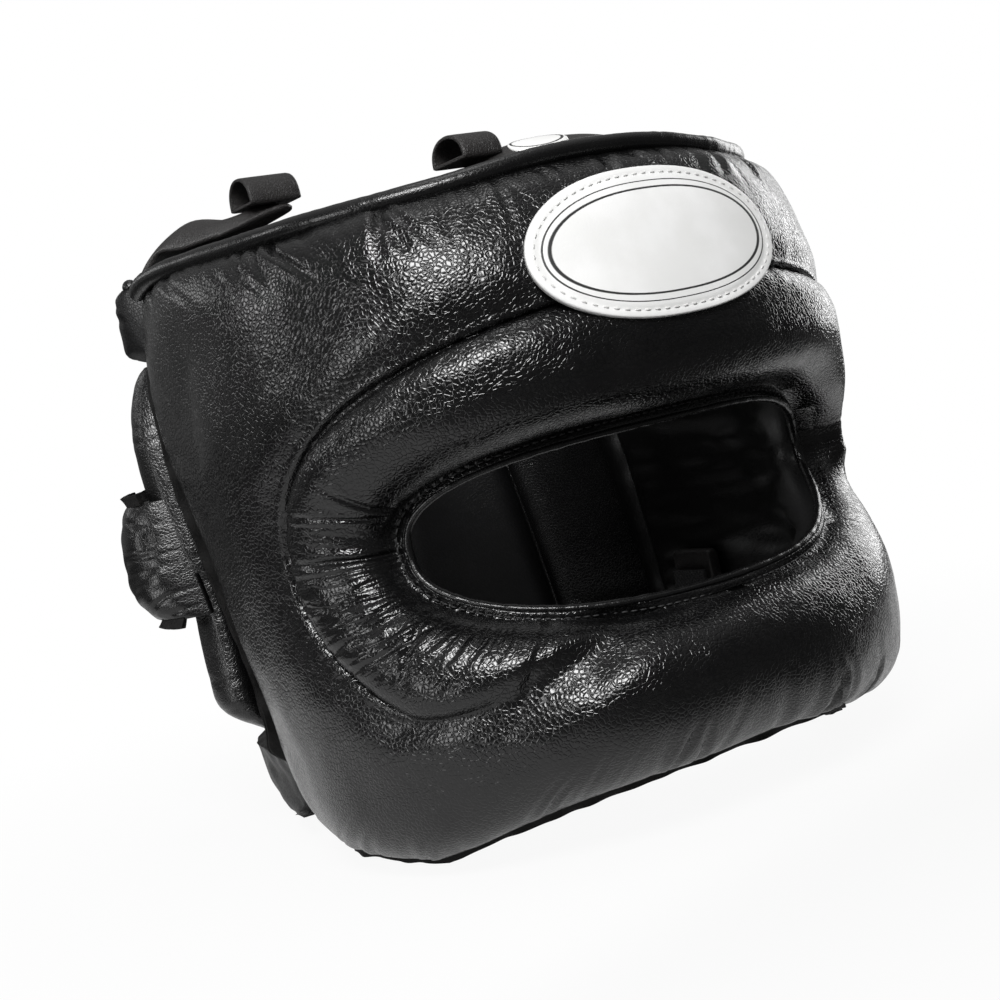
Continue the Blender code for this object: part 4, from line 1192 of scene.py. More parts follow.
def edge_folds():
    """Gathers along the outline: frequent under the rim and over the welt, fewer down the sides."""
    corners = np.radians([40.0, 140.0, 218.0, 322.0])
    one, two, three, four = (float(edge_run(np.array(c))[0]) for c in corners)
    total = float(edge_run(np.array(0.0))[1])
    deep = [
        (edge_place(degrees, upper), lean, EDGE_FOLD_CENTRE, reach, width, depth)
        for upper, reach, folds in ((True, RIM_FOLD_REACH, RIM_FOLDS), (False, JAW_FOLD_REACH, JAW_FOLDS))
        for degrees, lean, width, depth in folds
    ]
    rim = scattered(41, one, two, *RIM_GATHERS)
    left = scattered(42, two, three, *SIDE_GATHERS)
    jaw = scattered(43, three, four, *JAW_GATHERS)
    right = scattered(44, four, one + total, *SIDE_GATHERS)
    return np.concatenate([np.array(deep), rim, left, jaw, right])


def front_wrinkles(theta, along, points):
    """Height added to the smooth front: folds at the slot and the outline, puckers at the groove, lumps."""
    length = section_length(theta)
    from_eye = along * length
    from_edge = (1.0 - along) * length
    ring_at, ring_total = ring_run(theta)
    edge_at, edge_total = edge_run(theta)
    height = folded(ring_at, from_eye, ring_folds(), ring_total)
    height += folded(edge_at, from_edge, edge_folds(), edge_total) * smooth_step(from_edge / 0.0030)
    beyond = from_eye - ring_width(theta)
    puckers = waves(np.stack(np.broadcast_arrays(ring_at, beyond * 0.25), axis=-1), PUCKER_LENGTH, 5)
    height += PUCKER * puckers * bell(beyond / PUCKER_SPREAD) * (1.0 - run_out(theta))
    height += uneven(points, 6, FRONT_LUMPS)
    height -= HEM_DIP * bell((from_eye - EYE_STITCH_INSET) / HEM_WIDTH)
    return height * smooth_step(from_eye / 0.0012 + 0.2)


def make_front_pad():
    """Outer leather over its filling: the smooth heights plus wrinkles along the skin's own normals."""
    theta = front_rows(FRONT_ROWS)
    groove = np.minimum(ring_width(theta) / section_length(theta), 0.6)
    inside = eased(RING_COLUMNS + 1, 0.35)
    outside = np.linspace(0.0, 1.0, OUTER_COLUMNS + 1)[1:]
    outside = 0.42 * outside + 0.58 * outside**2
    along = np.concatenate([inside[None, :] * groove, groove + outside[None, :] * (1.0 - groove)], axis=1)
    angle, z = front_position(theta, along)
    outer, lining = front_heights(theta, along)
    skin = padded_point(angle, z, outer)
    core = padded_point(angle, z, np.minimum(lining, 0.0) - 0.02)
    normals = outward(skin_normals(skin, True), skin, core)
    skin = skin + normals * front_wrinkles(theta, along, skin)[..., None]
    picked = np.linspace(0, along.shape[1] - 1, BACK_COLUMNS).astype(int)
    middle = (outer + lining)[:, picked] / 2.0
    back = padded_point(angle[:, picked], z[:, picked], middle)
    loops = facing(skin, back)
    from_eye = along * section_length(theta)
    flat = np.stack(np.broadcast_arrays(ring_run(theta)[0], from_eye), axis=-1)
    drawn = drawn_mask(theta, from_eye)
    marks = {"drawn": facing(drawn, drawn[:, picked])}
    quads = loop_quads(*loops.shape[:2], True)
    pad = mesh_piece("front_pad", loops, quads, COVER, facing(flat, flat[:, picked]), marks)
    return dress(pad, "front", ("front_cover", "front_foam"))


def make_front_lining():
    """Lining leather: it falls from the slot and the outline to the head side, with soft level folds."""
    theta = front_rows(LINING_ROWS)
    along = np.broadcast_to(eased(LINING_COLUMNS + 1, 1.0), (LINING_ROWS, LINING_COLUMNS + 1))
    angle, z = front_position(theta, along)
    outer, lining = front_heights(theta, along)
    length = section_length(theta)
    inset = smooth_step(np.minimum(along, 1.0 - along) * length / 0.010)
    place = np.stack(np.broadcast_arrays(angle * SEAM_HALF_WIDTH * 0.3, z), axis=-1)
    skin = padded_point(angle, z, lining - uneven(place, 51, LINING_FOLDS) * inset)
    picked = np.linspace(0, LINING_COLUMNS, BACK_COLUMNS).astype(int)
    middle = (outer + lining)[:, picked] / 2.0 - SEAM_GAP
    back = padded_point(angle[:, picked], z[:, picked], middle)
    loops = facing(skin, back)
    piece = mesh_piece("front_lining_pad", loops, loop_quads(LINING_ROWS, loops.shape[1], True), LINING)
    return dress(piece, "front", ("front_lining",))


def make_eye_trims():
    """Folded edge round the slot, a little uneven, and the line of stitches beside it."""
    theta = front_rows(TRIM_ROWS)[:, 0]
    length = section_length(theta)
    angle, z = front_position(theta, -(BINDING_RADIUS * 0.55) / length)
    path = padded_point(angle, z, (EYE_EDGE_OUT + EYE_EDGE_IN) / 2.0)
    up = padded_point(angle, z, 1.0) - padded_point(angle, z, 0.0)
    radius = BINDING_RADIUS * (1.0 + uneven(path, 61, BINDING_LUMPS))
    loops = tube_loops(path, up, radius * 0.75, radius * 0.95, True, TRIM_SIDES)
    binding = mesh_piece("eye_slot_binding", loops, loop_quads(TRIM_ROWS, TRIM_SIDES, True), TRIM)
    dress(binding, "front", ("eye_binding",))

    share = EYE_STITCH_INSET / length
    angle, z = front_position(theta, share)
    outer = front_heights(theta, share)[0] - 0.00025
    line = padded_point(angle, z, outer)
    points, quads = stitches(line, up)
    seam = mesh_piece("eye_slot_stitches", points, quads, BLACK_THREAD)
    dress(seam, "front")


def make_rim_roll():
    """Piping over the rim: a bead square to the edge with faint rings and round ends, on a raw-edged tape."""
    top = math.pi / 2.0 + np.linspace(-PIPING_REACH, PIPING_REACH, 520)
    angle, z = front_edge(top)
    run = np.gradient(angle) * SEAM_HALF_WIDTH
    climb = np.gradient(z)
    beyond = PIPING_SEAT / np.hypot(run, climb)
    angle = angle + beyond * climb / SEAM_HALF_WIDTH
    z = z - beyond * run
    path = padded_point(angle, z, PIPING_OUT + rim_flare(angle, z))
    up = padded_point(angle, z, 1.0) - padded_point(angle, z, 0.0)
    spent = path_length(path)
    ends = round_ends(spent, spent[-1], PIPING_RADIUS)
    size = PIPING_RADIUS * PIPING_PLUMP * ends * (1.0 + uneven(spent[:, None], 71, PIPING_RINGS))
    loops = tube_loops(path, up, size, size * 0.96, False, 22)
    roll = mesh_piece("rim_roll", loops, loop_quads(len(path), 22), TRIM)
    dress(roll, "front", ("rim_piping",))

    inset_angle, inset_z = front_position(top, 1.0 - TAPE_WIDTH / section_length(top))
    base = padded_point(inset_angle, inset_z, rim_flare(inset_angle, inset_z) - TAPE_SUNK)
    loops = strip_loops(base, path, strip_normals(path, base, path), 0.0, TAPE_THICKNESS)
    tape = mesh_piece("rim_tape", loops, loop_quads(*loops.shape[:2]), RAW)
    dress(tape, "front")


def strip_normals(line, base, tip):
    """Unit normals of the strip between two lines, square to one of them and to the way across."""
    normal = np.cross(path_frame(line), tip - base)
    return normal / np.linalg.norm(normal, axis=1)[:, None]


def strip_loops(base, tip, normal, lift, thickness):
    """A strip from a base line to a tip line, moved by a lift along its normal and given a thickness."""
    share = np.linspace(0.0, 1.0, STRIP_COLUMNS)[None, :, None]
    middle = base[:, None] + (tip - base)[:, None] * share + normal[:, None] * lift
    thick = normal[:, None] * thickness / 2.0
    return facing(middle + thick, middle - thick)


def raw_layers(base, tip, seed, open_by=0.0008, sway=0.0003):
    """Two cut edges sewn together at the base: strips to uneven tips, which sway and part towards them.

    The sway grows with the square of the way to the tip, and the opening with its power of one and a half.
    """
    run = path_length(base)[:, None]
    share = np.linspace(0.0, 1.0, STRIP_COLUMNS)[None, :, None]
    swayed = sway * waves(run, 0.018, seed)[:, None, None] * share**2
    opened = 0.5 + 0.5 * np.clip(waves(run, 0.024, seed + 1), -1.0, 1.5)
    parted = open_by * opened[:, None, None] * share**1.5
    normal = strip_normals(base, base, tip)
    parts = []
    for side in (-1, 1):
        cut = 1.0 + 0.012 * waves(run, 0.011, seed + 3 + side) + 0.03 * waves(run, 0.034, seed + 6 + side)
        far = base + (tip - base) * cut[:, None] * (LOWER_LAYER if side > 0 else 1.0)
        lift = swayed + side * (WELT_LAYER / 2.0 + SEAM_GAP / 2.0 + parted / 2.0)
        loops = strip_loops(base, far, normal, lift, WELT_LAYER)
        parts.append((loops, loop_quads(*loops.shape[:2])))
    return joined(parts)


def make_welts():
    """Raw seam edges: they hang below the padding under the jaw, and stand out of the seam down the sides."""
    under = math.pi * 1.5 + np.linspace(-WELT_REACH, WELT_REACH, 420)
    angle, edge = front_edge(under)
    middle = (EYE_EDGE_OUT + EYE_EDGE_IN) / 2.0
    base = padded_point(angle, edge - 0.0002, middle)
    tip = padded_point(angle, welt_level(angle) + WELT_SHORT, middle)
    points, quads = raw_layers(base, tip, 81)
    welt = mesh_piece("bottom_raw_welt", points, quads, RAW, sharp=RAW_SHARP)
    dress(welt, "front", ("bottom_welt",))

    start = 2.0 * WELT_DROP + SIDE_WELT_MARGIN
    z = np.linspace(start, REAR_RIM - 2.0 * SIDE_WELT_MARGIN, 260)
    middle = -(seam_angle(z) + SEAM_ALLOWANCE / 2.0 / SEAM_HALF_WIDTH)
    sunk = EYE_EDGE_OUT + np.maximum(seam_rise(z), rim_flare(middle, z)) - SIDE_WELT_SUNK
    base = padded_point(middle, z, sunk)
    tail = SIDE_WELT_TAIL * bell((z - start) / 0.016)
    held = 0.15 + 0.85 * ramp(z, start, 0.010) * smooth_step((z[-1] - z) / 0.010)
    tip = padded_point(middle, z, sunk + (SIDE_WELT_SUNK + SIDE_WELT_REACH + tail) * held)
    for name, side, seed in (("left", -1, 91), ("right", 1, 96)):
        points, quads = raw_layers(base, tip, seed, 0.0010, 0.0005)
        welt = mesh_piece("side_raw_welt_" + name, mirrored(points, side), quads, RAW, sharp=RAW_SHARP)
        dress(welt, "front", ("side_welt_" + name,))


def forehead_height(angle, z):
    """Outer height of the forehead at a place, found by halving the polar angle range over the slot."""
    low = np.full(np.shape(angle), math.radians(20.0))
    high = np.full(np.shape(angle), math.radians(160.0))
    for _ in range(40):
        middle = (low + high) / 2.0
        eye_angle, eye_z = eye_edge(middle)
        edge_angle, edge_z = front_edge(middle)
        turn = (edge_angle - eye_angle) * (z - eye_z) - (edge_z - eye_z) * (angle - eye_angle)
        high = np.where(turn < 0.0, middle, high)
        low = np.where(turn < 0.0, low, middle)
    eye_z = eye_edge(middle)[1]
    along = (z - eye_z) / (front_edge(middle)[1] - eye_z)
    return front_heights(middle, along, groove=0.0)[0]


def badge_point(across, up, lift):
    """A place on the forehead, given in metres from the badge's middle, lifted off the smooth leather."""
    angle = BADGE_ANGLE + across / (FOREHEAD_REACH + PAD_OUT)
    z = RIM_HEIGHT - BADGE_BELOW_RIM + up
    return padded_point(angle, z, forehead_height(angle, z) + lift)


def oval_grid(rows, columns):
    """Turns round an oval by shares of the way to its edge, which get closer towards it as a sine does."""
    turn = (np.arange(rows) / rows * 2.0 * math.pi)[:, None]
    return turn, np.sin(np.linspace(0.0, math.pi / 2.0, columns))[None, :]


def rounded_edge(share, width):
    """1 over most of an oval, and down a quarter circle to 0 within a width of its edge."""
    near = ((share - 1.0 + width) / width).clip(0.0, 1.0)
    return np.sqrt(np.clip(1.0 - near**2, 0.0, 1.0))


def make_badge():
    """Oval patch: a polar grid from its middle over a rounded edge and back, with a sewn dip inside it."""
    turn, share = oval_grid(BADGE_ROWS, BADGE_COLUMNS)
    edge = rounded_edge(share, 0.025)
    inset = (1.0 - share) * BADGE_HALF_HEIGHT
    dip = 0.0003 * bell((inset - BADGE_STITCH_INSET) / 0.0008)
    across = BADGE_HALF_WIDTH * share * np.cos(turn)
    up = BADGE_HALF_HEIGHT * share * np.sin(turn)
    puff = CLEARANCE + 0.0002 + BADGE_THICKNESS * (0.35 + 0.65 * edge) - dip
    loops = facing(badge_point(across, up, puff), badge_point(across, up, CLEARANCE - BADGE_SUNK))
    flat = np.stack([across, up], axis=-1)
    badge = mesh_piece("badge_patch", loops, loop_quads(*loops.shape[:2], True), BADGE, facing(flat, flat))
    weld(badge)
    dress(badge, "front", ("forehead_badge",))

    turn = np.linspace(0.0, 2.0 * math.pi, 400, endpoint=False)
    across = (BADGE_HALF_WIDTH - BADGE_STITCH_INSET) * np.cos(turn)
    up = (BADGE_HALF_HEIGHT - BADGE_STITCH_INSET) * np.sin(turn)
    lift = CLEARANCE + BADGE_THICKNESS - 0.0002
    line = badge_point(across, up, lift)
    raised = badge_point(across, up, lift + 0.001) - line
    points, quads = stitches(line, raised, *BADGE_STITCHES)
    seam = mesh_piece("badge_stitches", points, quads, WHITE_THREAD)
    dress(seam, "front")


def ear_notch(z):
    """1 beside the ear guard and 0 above and below it."""
    rise = ramp(z, EAR_BOTTOM - EAR_CORNER / 2.0, EAR_CORNER)
    return rise * smooth_step((EAR_TOP + EAR_CORNER / 2.0 - z) / EAR_CORNER)


def rear_heights(angle, z):
    """Skin and lining heights of a rear half, drawn in at its edges and along the channel over the ear."""
    front = wing_front(z) + EAR_ARC / SEAM_HALF_WIDTH * ear_notch(z)
    from_front = (angle - front) * SEAM_HALF_WIDTH
    crown = roll_off(from_front, REAR_ROLL)
    crown = crown * roll_off((math.pi - BACK_GAP_ANGLE - angle) * REAR_REACH, REAR_ROLL)
    crown = crown * roll_off(REAR_RIM - z, REAR_ROLL) * roll_off(z - REAR_FLOOR_GAP, REAR_ROLL)
    channel = BAND_CHANNEL * bell((z - EAR_TOP) / BAND_CHANNEL_WIDTH)
    band = BAND_EXTRA * ramp(z, EAR_TOP, EAR_CORNER)
    near = 1.0 - smooth_step(from_front / NECK_FRONT_RUN)
    neck = NECK_TAPER * (1.0 - smooth_step(z / EAR_BOTTOM))
    neck = neck + NECK_FRONT_TAPER * near * (1.0 - ramp(z, *NECK_FRONT_FADE))
    flare = rim_flare(angle, z)
    edge = REAR_EDGE_OUT + flare
    inner_edge = REAR_EDGE_IN + flare
    outer = edge + (REAR_PAD_OUT + band - neck - channel - edge) * crown
    lining = inner_edge - (inner_edge + REAR_PAD_IN) * crown
    return outer, lining


def stretched(breaks, counts):
    """Levels between breaks, so many to each stretch, with each break once."""
    pieces = [np.linspace(a, b, n, endpoint=False) for a, b, n in zip(breaks[:-1], breaks[1:], counts)]
    return np.concatenate([*pieces, [breaks[-1]]])


def make_rear_pads():
    """Rear halves: rows of levels by shares from the ear to the back, with gathers along every edge."""
    breaks = (
        REAR_FLOOR_GAP,
        REAR_FLOOR_GAP + REAR_ROLL,
        EAR_BOTTOM - REAR_STEP,
        EAR_BOTTOM + REAR_STEP,
        EAR_TOP - REAR_STEP,
        EAR_TOP + REAR_STEP,
        REAR_RIM - REAR_ROLL,
        REAR_RIM,
    )
    z = stretched(breaks, (14, 12, 16, 90, 16, 10, 14))[:, None]
    rise = NECK_RISE * np.clip(1.0 - z / EAR_BOTTOM, 0.0, 1.0)
    front = wing_front(z + rise) + EAR_ARC / SEAM_HALF_WIDTH * ear_notch(z)
    angle = front + (math.pi - BACK_GAP_ANGLE - front) * eased(REAR_COLUMNS)
    z = np.broadcast_to(z, angle.shape)
    outer, lining = rear_heights(angle, z)
    from_front = (angle - front) * SEAM_HALF_WIDTH
    from_back = (math.pi - BACK_GAP_ANGLE - angle) * REAR_REACH
    level = z + rise * (1.0 - smooth_step(from_front / NECK_RUN))
    skin = padded_point(-angle, level, outer)
    inner = padded_point(-angle, level, lining)
    normals = outward(skin_normals(skin), skin, inner - 0.05 * (skin - inner))
    hold = smooth_step(least(REAR_RIM - z, z - REAR_FLOOR_GAP, from_front, from_back) / 0.003)
    run = angle * REAR_REACH
    for name, side, seed in (("left", -1, 101), ("right", 1, 131)):
        height = folded(run, REAR_RIM - z, scattered(seed, *REAR_RUN, *REAR_RIM_GATHERS))
        height += folded(run, z, scattered(seed + 1, *REAR_RUN, *NECK_GATHERS))
        height += folded(z, from_front, scattered(seed + 2, 0.0, REAR_RIM, *EAR_EDGE_GATHERS))
        height += folded(z, from_back, scattered(seed + 3, 0.0, REAR_RIM, *BACK_GATHERS))
        height += folded(run, z - EAR_TOP, scattered(seed + 4, *REAR_RUN, *CHANNEL_GATHERS))
        height += uneven(skin, seed + 5, REAR_LUMPS)
        loops = mirrored(facing(skin + normals * (height * hold)[..., None], inner), side)
        pad = mesh_piece("rear_half_" + name, loops, loop_quads(*loops.shape[:2]), REAR_LEATHER)
        dress(pad, "wing_" + name, ("rear_pad_" + name,))


def guard_outer(arc, z):
    """Outer height of the ear guard and its crown, at an arc length behind the seam.

    It is low at the jaw and full at the temple, and rolls off to all its edges.
    """
    crown = roll_off(arc, GUARD_ROLL) * roll_off(EAR_ARC - CLEARANCE - arc, GUARD_ROLL)
    crown = crown * roll_off(z - EAR_BOTTOM - EAR_CORNER, GUARD_ROLL)
    full = GUARD_BASE + GUARD_LOWER * ramp(z, EAR_BOTTOM, GUARD_LOWER_RISE)
    full = full + GUARD_UPPER * ramp(z, *GUARD_UPPER_RISE)
    full = full * roll_off(GUARD_TOP - z, GUARD_TOP_ROLL)
    edge = np.minimum(GUARD_EDGE_OUT + seam_rise(z), full)
    return edge + (full - edge) * crown, crown


def make_ear_guards():
    """Ear guards: shells over the ear, gathered along the front seam and along the rear half."""
    low = EAR_BOTTOM - GUARD_SKIRT
    high = EAR_TOP - 0.0005
    rolled = EAR_BOTTOM + EAR_CORNER
    z = stretched((low, rolled, rolled + GUARD_ROLL, high - GUARD_ROLL, high), (10, 22, 100, 22))
    arc = GUARD_SETBACK + (EAR_ARC - CLEARANCE - GUARD_SETBACK) * eased(GUARD_COLUMNS)
    z, arc = np.broadcast_arrays(z[:, None], arc)
    outer, crown = guard_outer(arc, z)
    inner = GUARD_EDGE_IN + (GUARD_HOLLOW - GUARD_EDGE_IN) * crown
    angle = -(wing_front(z) + arc / SEAM_HALF_WIDTH)
    skin = padded_point(angle, z, outer)
    hollow = padded_point(angle, z, inner)
    normals = outward(skin_normals(skin), skin, hollow)
    hold = smooth_step(least(high - z, z - low, arc, EAR_ARC - CLEARANCE - arc) / 0.002)
    for name, side, seed in (("left", -1, 151), ("right", 1, 171)):
        height = folded(z, arc, scattered(seed, low, high, *GUARD_SEAM_GATHERS))
        height += folded(z, EAR_ARC - arc, scattered(seed + 1, low, high, *GUARD_REAR_GATHERS))
        height += uneven(skin, seed + 2, GUARD_LUMPS)
        loops = mirrored(facing(skin + normals * (height * hold)[..., None], hollow), side)
        guard = mesh_piece("ear_shell_" + name, loops, loop_quads(*loops.shape[:2]), EAR_LEATHER)
        dress(guard, "wing_" + name, ("ear_guard_" + name,))


def roll_point(tall, deep, crown, lift=0.0):
    """A place on the bolster, by its distances up it and back from the seam: from the guard to its peak."""
    z = ROLL_LEVEL - ROLL_HEIGHT / 2.0 + tall
    arc = ROLL_FROM + deep
    seat = guard_outer(arc, z)[0] + CLEARANCE
    angle = -(wing_front(z) + arc / SEAM_HALF_WIDTH)
    return padded_point(angle, z, seat + (ROLL_PEAK - seat) * crown + lift)


def make_ear_rolls():
    """Bolsters over the ears: gathers run back from the front seam, and raw seams close top and bottom."""
    wide = ROLL_TO - ROLL_FROM
    tall, deep = np.broadcast_arrays((ROLL_HEIGHT * eased(ROLL_ROWS))[:, None], wide * eased(ROLL_COLUMNS))
    crown = roll_off(tall + 0.002, ROLL_HEIGHT * ROLL_LOWER)
    crown = crown * roll_off(ROLL_HEIGHT - tall + 0.003, ROLL_HEIGHT * ROLL_UPPER)
    crown = crown * roll_off(deep, ROLL_FRONT_ROLL) * roll_off(wide - deep, ROLL_FRONT_ROLL)
    skin = roll_point(tall, deep, crown)
    under = roll_point(tall, deep, 0.0, -ROLL_SUNK)
    normals = outward(skin_normals(skin), skin, under - 2.0 * (skin - under))
    hold = smooth_step(least(tall, ROLL_HEIGHT - tall, deep, wide - deep) / 0.0015 + 0.1)
    for name, side, seed in (("left", -1, 191), ("right", 1, 211)):
        ends = scattered(seed + 2, 0.0, wide, *ROLL_END_GATHERS)
        height = folded(tall, deep, scattered(seed, 0.0, ROLL_HEIGHT, *ROLL_FRONT_GATHERS))
        height += folded(tall, wide - deep, scattered(seed + 1, 0.0, ROLL_HEIGHT, *ROLL_REAR_GATHERS))
        height += folded(deep, ROLL_HEIGHT - tall, ends) + folded(deep, tall, ends)
        height += uneven(skin, seed + 3, ROLL_LUMPS)
        loops = mirrored(facing(skin + normals * (height * hold)[..., None], under), side)
        roll = mesh_piece("ear_bolster_" + name, loops, loop_quads(*loops.shape[:2]), TRIM)
        dress(roll, "wing_" + name, ("ear_roll_" + name,))

        parts = []
        for row, rise, start in ((-2, ROLL_SEAM_UP, seed + 10), (2, -ROLL_SEAM_DOWN, seed + 30)):
            out = skin[row] - under[row]
            out = (out / np.linalg.norm(out, axis=1)[:, None])[6:-6]
            base = skin[row][6:-6] - out * 0.0010
            tip = base + out * 0.0012 + np.array([0.0, 0.0, rise])
            parts.append(raw_layers(base, tip, start, 0.0007, 0.0004))
        points, quads = joined(parts)
        seam = mesh_piece("ear_bolster_seams_" + name, mirrored(points, side), quads, RAW, sharp=RAW_SHARP)
        dress(seam, "wing_" + name)


def make_rear_pipings():
    """Piping over each rear half: a bead with faint rings and round ends, as on the front's rim."""
    start = wing_front(REAR_RIM) + PIPING_RADIUS / SEAM_HALF_WIDTH
    angle = np.linspace(start, math.pi - 2.0 * BACK_GAP_ANGLE, 220)
    level = REAR_RIM + PIPING_SEAT
    path = padded_point(-angle, level, PIPING_OUT + rim_flare(angle, level))
    spent = path_length(path)
    size = PIPING_RADIUS * round_ends(spent, spent[-1], PIPING_RADIUS)
    for name, side, seed in (("left", -1, 231), ("right", 1, 236)):
        bead = size * (1.0 + uneven(spent[:, None], seed, PIPING_RINGS))
        loops = tube_loops(mirrored(path, side), np.array([0.0, 0.0, 1.0]), bead, bead)
        roll = mesh_piece("rear_roll_" + name, loops, loop_quads(*loops.shape[:2]), TRIM)
        dress(roll, "wing_" + name, ("rear_piping_" + name,))


def back_band(turns, half, low, high):
    """A band across the back and its flat form: turns from the back centre by shares of its height.

    The share across runs as a sine, and the thickness rolls off at every edge.
    """
    share = np.sin(np.linspace(-1.0, 1.0, BAND_COLUMNS) * math.pi / 2.0)
    turns, share, half = np.broadcast_arrays(turns[:, None], share, half[:, None])
    z = CLOSURE_LEVEL + half * share
    off_end = np.minimum(turns - turns.min(), turns.max() - turns) * REAR_REACH
    soft = 0.3 + 0.7 * roll_off(np.minimum((1.0 - np.abs(share)) * half, off_end), BAND_ROUNDING)
    middle = (low + high) / 2.0
    thick = (high - low) / 2.0
    outer = padded_point(math.pi - turns, z, middle + thick * soft)
    inner = padded_point(math.pi - turns, z, middle - thick * soft)
    return facing(outer, inner), np.stack([turns * REAR_REACH, z], axis=-1)


def band_border(turns, half, inset, height):
    """A closed line inside a band's outline, and the way out from the back along it."""
    ends = inset / REAR_REACH
    kept = np.linspace(turns.min() + ends, turns.max() - ends, 160)
    tall = np.interp(kept, turns, half) - inset
    tall = np.maximum(tall, 0.002)
    around = np.concatenate([kept, kept[::-1]])
    z = CLOSURE_LEVEL + np.concatenate([tall, -tall[::-1]])
    line = padded_point(math.pi - around, z, height)
    return line, padded_point(math.pi - around, z, height + 0.001) - line


def sewn_band(piece, thread_name, turns, half, levels, inset, made_of, body, solid):
    """A band across the back with a border of stitches at an inset from its outline."""
    loops, flat = back_band(turns, half, *levels)
    band = mesh_piece(piece, loops, loop_quads(*loops.shape[:2]), made_of, facing(flat, flat))
    dress(band, body, (solid,))
    line, lift = band_border(turns, half, inset, levels[1] - 0.0001)
    points, quads = stitches(line, lift)
    dress(mesh_piece(thread_name, points, quads, BLACK_THREAD), body)


def make_closure():
    """Loop panel on one half, and the strap and its patch on the other. The strap's tip has round corners."""
    panel_low = REAR_PAD_OUT + 2.0 * CLEARANCE
    panel_high = panel_low + PANEL_THICKNESS
    strap_low = panel_high + CLEARANCE
    strap_high = strap_low + STRAP_THICKNESS
    half = CLOSURE_WIDTH / 2.0

    turns = np.linspace(PANEL_FROM, PANEL_TO, 60)
    levels = (panel_low, panel_high)
    sewn_band(
        "closure_loop_panel", "closure_panel_stitches", turns, np.full(60, half), levels, PANEL_STITCH_INSET,
        LOOP_TAPE, "wing_right", "loop_panel",
    )
    turns = np.linspace(-PANEL_TO, -PATCH_FROM, 60)
    levels = (panel_low, strap_high)
    sewn_band(
        "closure_patch", "closure_patch_stitches", turns, np.full(60, half), levels, STRAP_STITCH_INSET,
        STRAP_LEATHER, "wing_left", "strap_patch",
    )
    root = PATCH_FROM - 1.5 * CLEARANCE / REAR_REACH
    turns = np.linspace(-root, STRAP_END, 110)
    near = np.clip(1.0 - (STRAP_END - turns) * REAR_REACH / STRAP_CORNER, 0.0, 1.0)
    halves = half - STRAP_CORNER + STRAP_CORNER * np.sqrt(np.clip(1.0 - near**2, 0.0, 1.0))
    levels = (strap_low, strap_high)
    sewn_band(
        "closure_strap_leather", "closure_strap_stitches", turns, halves, levels, STRAP_STITCH_INSET,
        STRAP_LEATHER, "strap", "closure_strap",
    )


def flap_point(angle, inward, lift):
    """Points inwards of the rim piping and above the rim."""
    rim = rim_level(angle)
    beside_piping = PIPING_OUT + rim_flare(angle, rim) - PIPING_RADIUS - 2.0 * CLEARANCE
    return padded_point(angle, rim + FLAP_BASE_LIFT + lift, beside_piping - inward)


def flap_lift(along, steepness):
    """Rise of a flap along its reach, as a share: a quarter sine, and level once it is through."""
    return np.sin(math.pi / 2.0 * np.clip(along * steepness, 0.0, 1.0))


def flap_width(row):
    """Reach of a flap across its width, as a share: a tongue with rounded shoulders."""
    return np.sqrt(1.0 - 0.7 * np.asarray(row) ** 4)


def flap_rise(row, rise, swell):
    """Rise of a flap across its width: a swell beside its loop that fades out again at the far end."""
    return rise + swell * ramp(row, -0.62, 0.40) * (1.0 - ramp(row, 0.45, 0.55))


def fold_over(obj, name):
    """Bakes the piece's placing into its points. The fold's body, angle and near and far distances are read
    from the table, but the piece does not bend.
    """
    body, angle, near, far = FLAP_FOLDS[name]
    "flap_" + name
    flap_point(angle, near, 0.0)
    flap_point(angle, far, 0.0)
    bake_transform(obj)


def make_flap(name, middle, half, reach, rise, steepness, swell, seed):
    """Leather tongue inside the rim: rows across it by the way inwards, with a sway and a thin cut edge."""
    even = np.linspace(-1.0, 1.0, FLAP_ROWS)
    row = 0.5 * np.sin(even * math.pi / 2.0) + 0.5 * even
    row, along = np.broadcast_arrays(row[:, None], np.linspace(0.0, 1.0, FLAP_COLUMNS))
    width = flap_width(row)
    angle = middle + half * row
    inward = reach * width * along**FLAP_BEND
    lift = flap_rise(row, rise, swell) * width * flap_lift(along, steepness)
    place = np.stack([angle * SEAM_SPAN, inward], axis=-1)
    sway = uneven(place, seed, FLAP_SWAY) * smooth_step(along * 2.0)
    skin = flap_point(angle, inward, lift + sway)
    normals = outward(skin_normals(skin), skin, flap_point(angle, inward, lift - 0.05))
    edge = np.minimum((1.0 - np.abs(row)) * half * SEAM_SPAN, (1.0 - along) * reach)
    soft = 0.35 + 0.65 * roll_off(edge, 0.0009)
    centre = skin - normals * FLAP_THICKNESS / 2.0
    thick = normals * (FLAP_THICKNESS * 0.46 * soft)[..., None]
    loops = facing(centre + thick, centre - thick)
    flap = mesh_piece("crown_tongue_" + name, loops, loop_quads(*loops.shape[:2]), STRAP_LEATHER)
    if name not in FLAP_FOLDS:
        dress(flap, "flap_" + name, ("crown_flap_" + name,))
        return
    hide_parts("crown_flap_" + name)
    fold_over(flap, name)


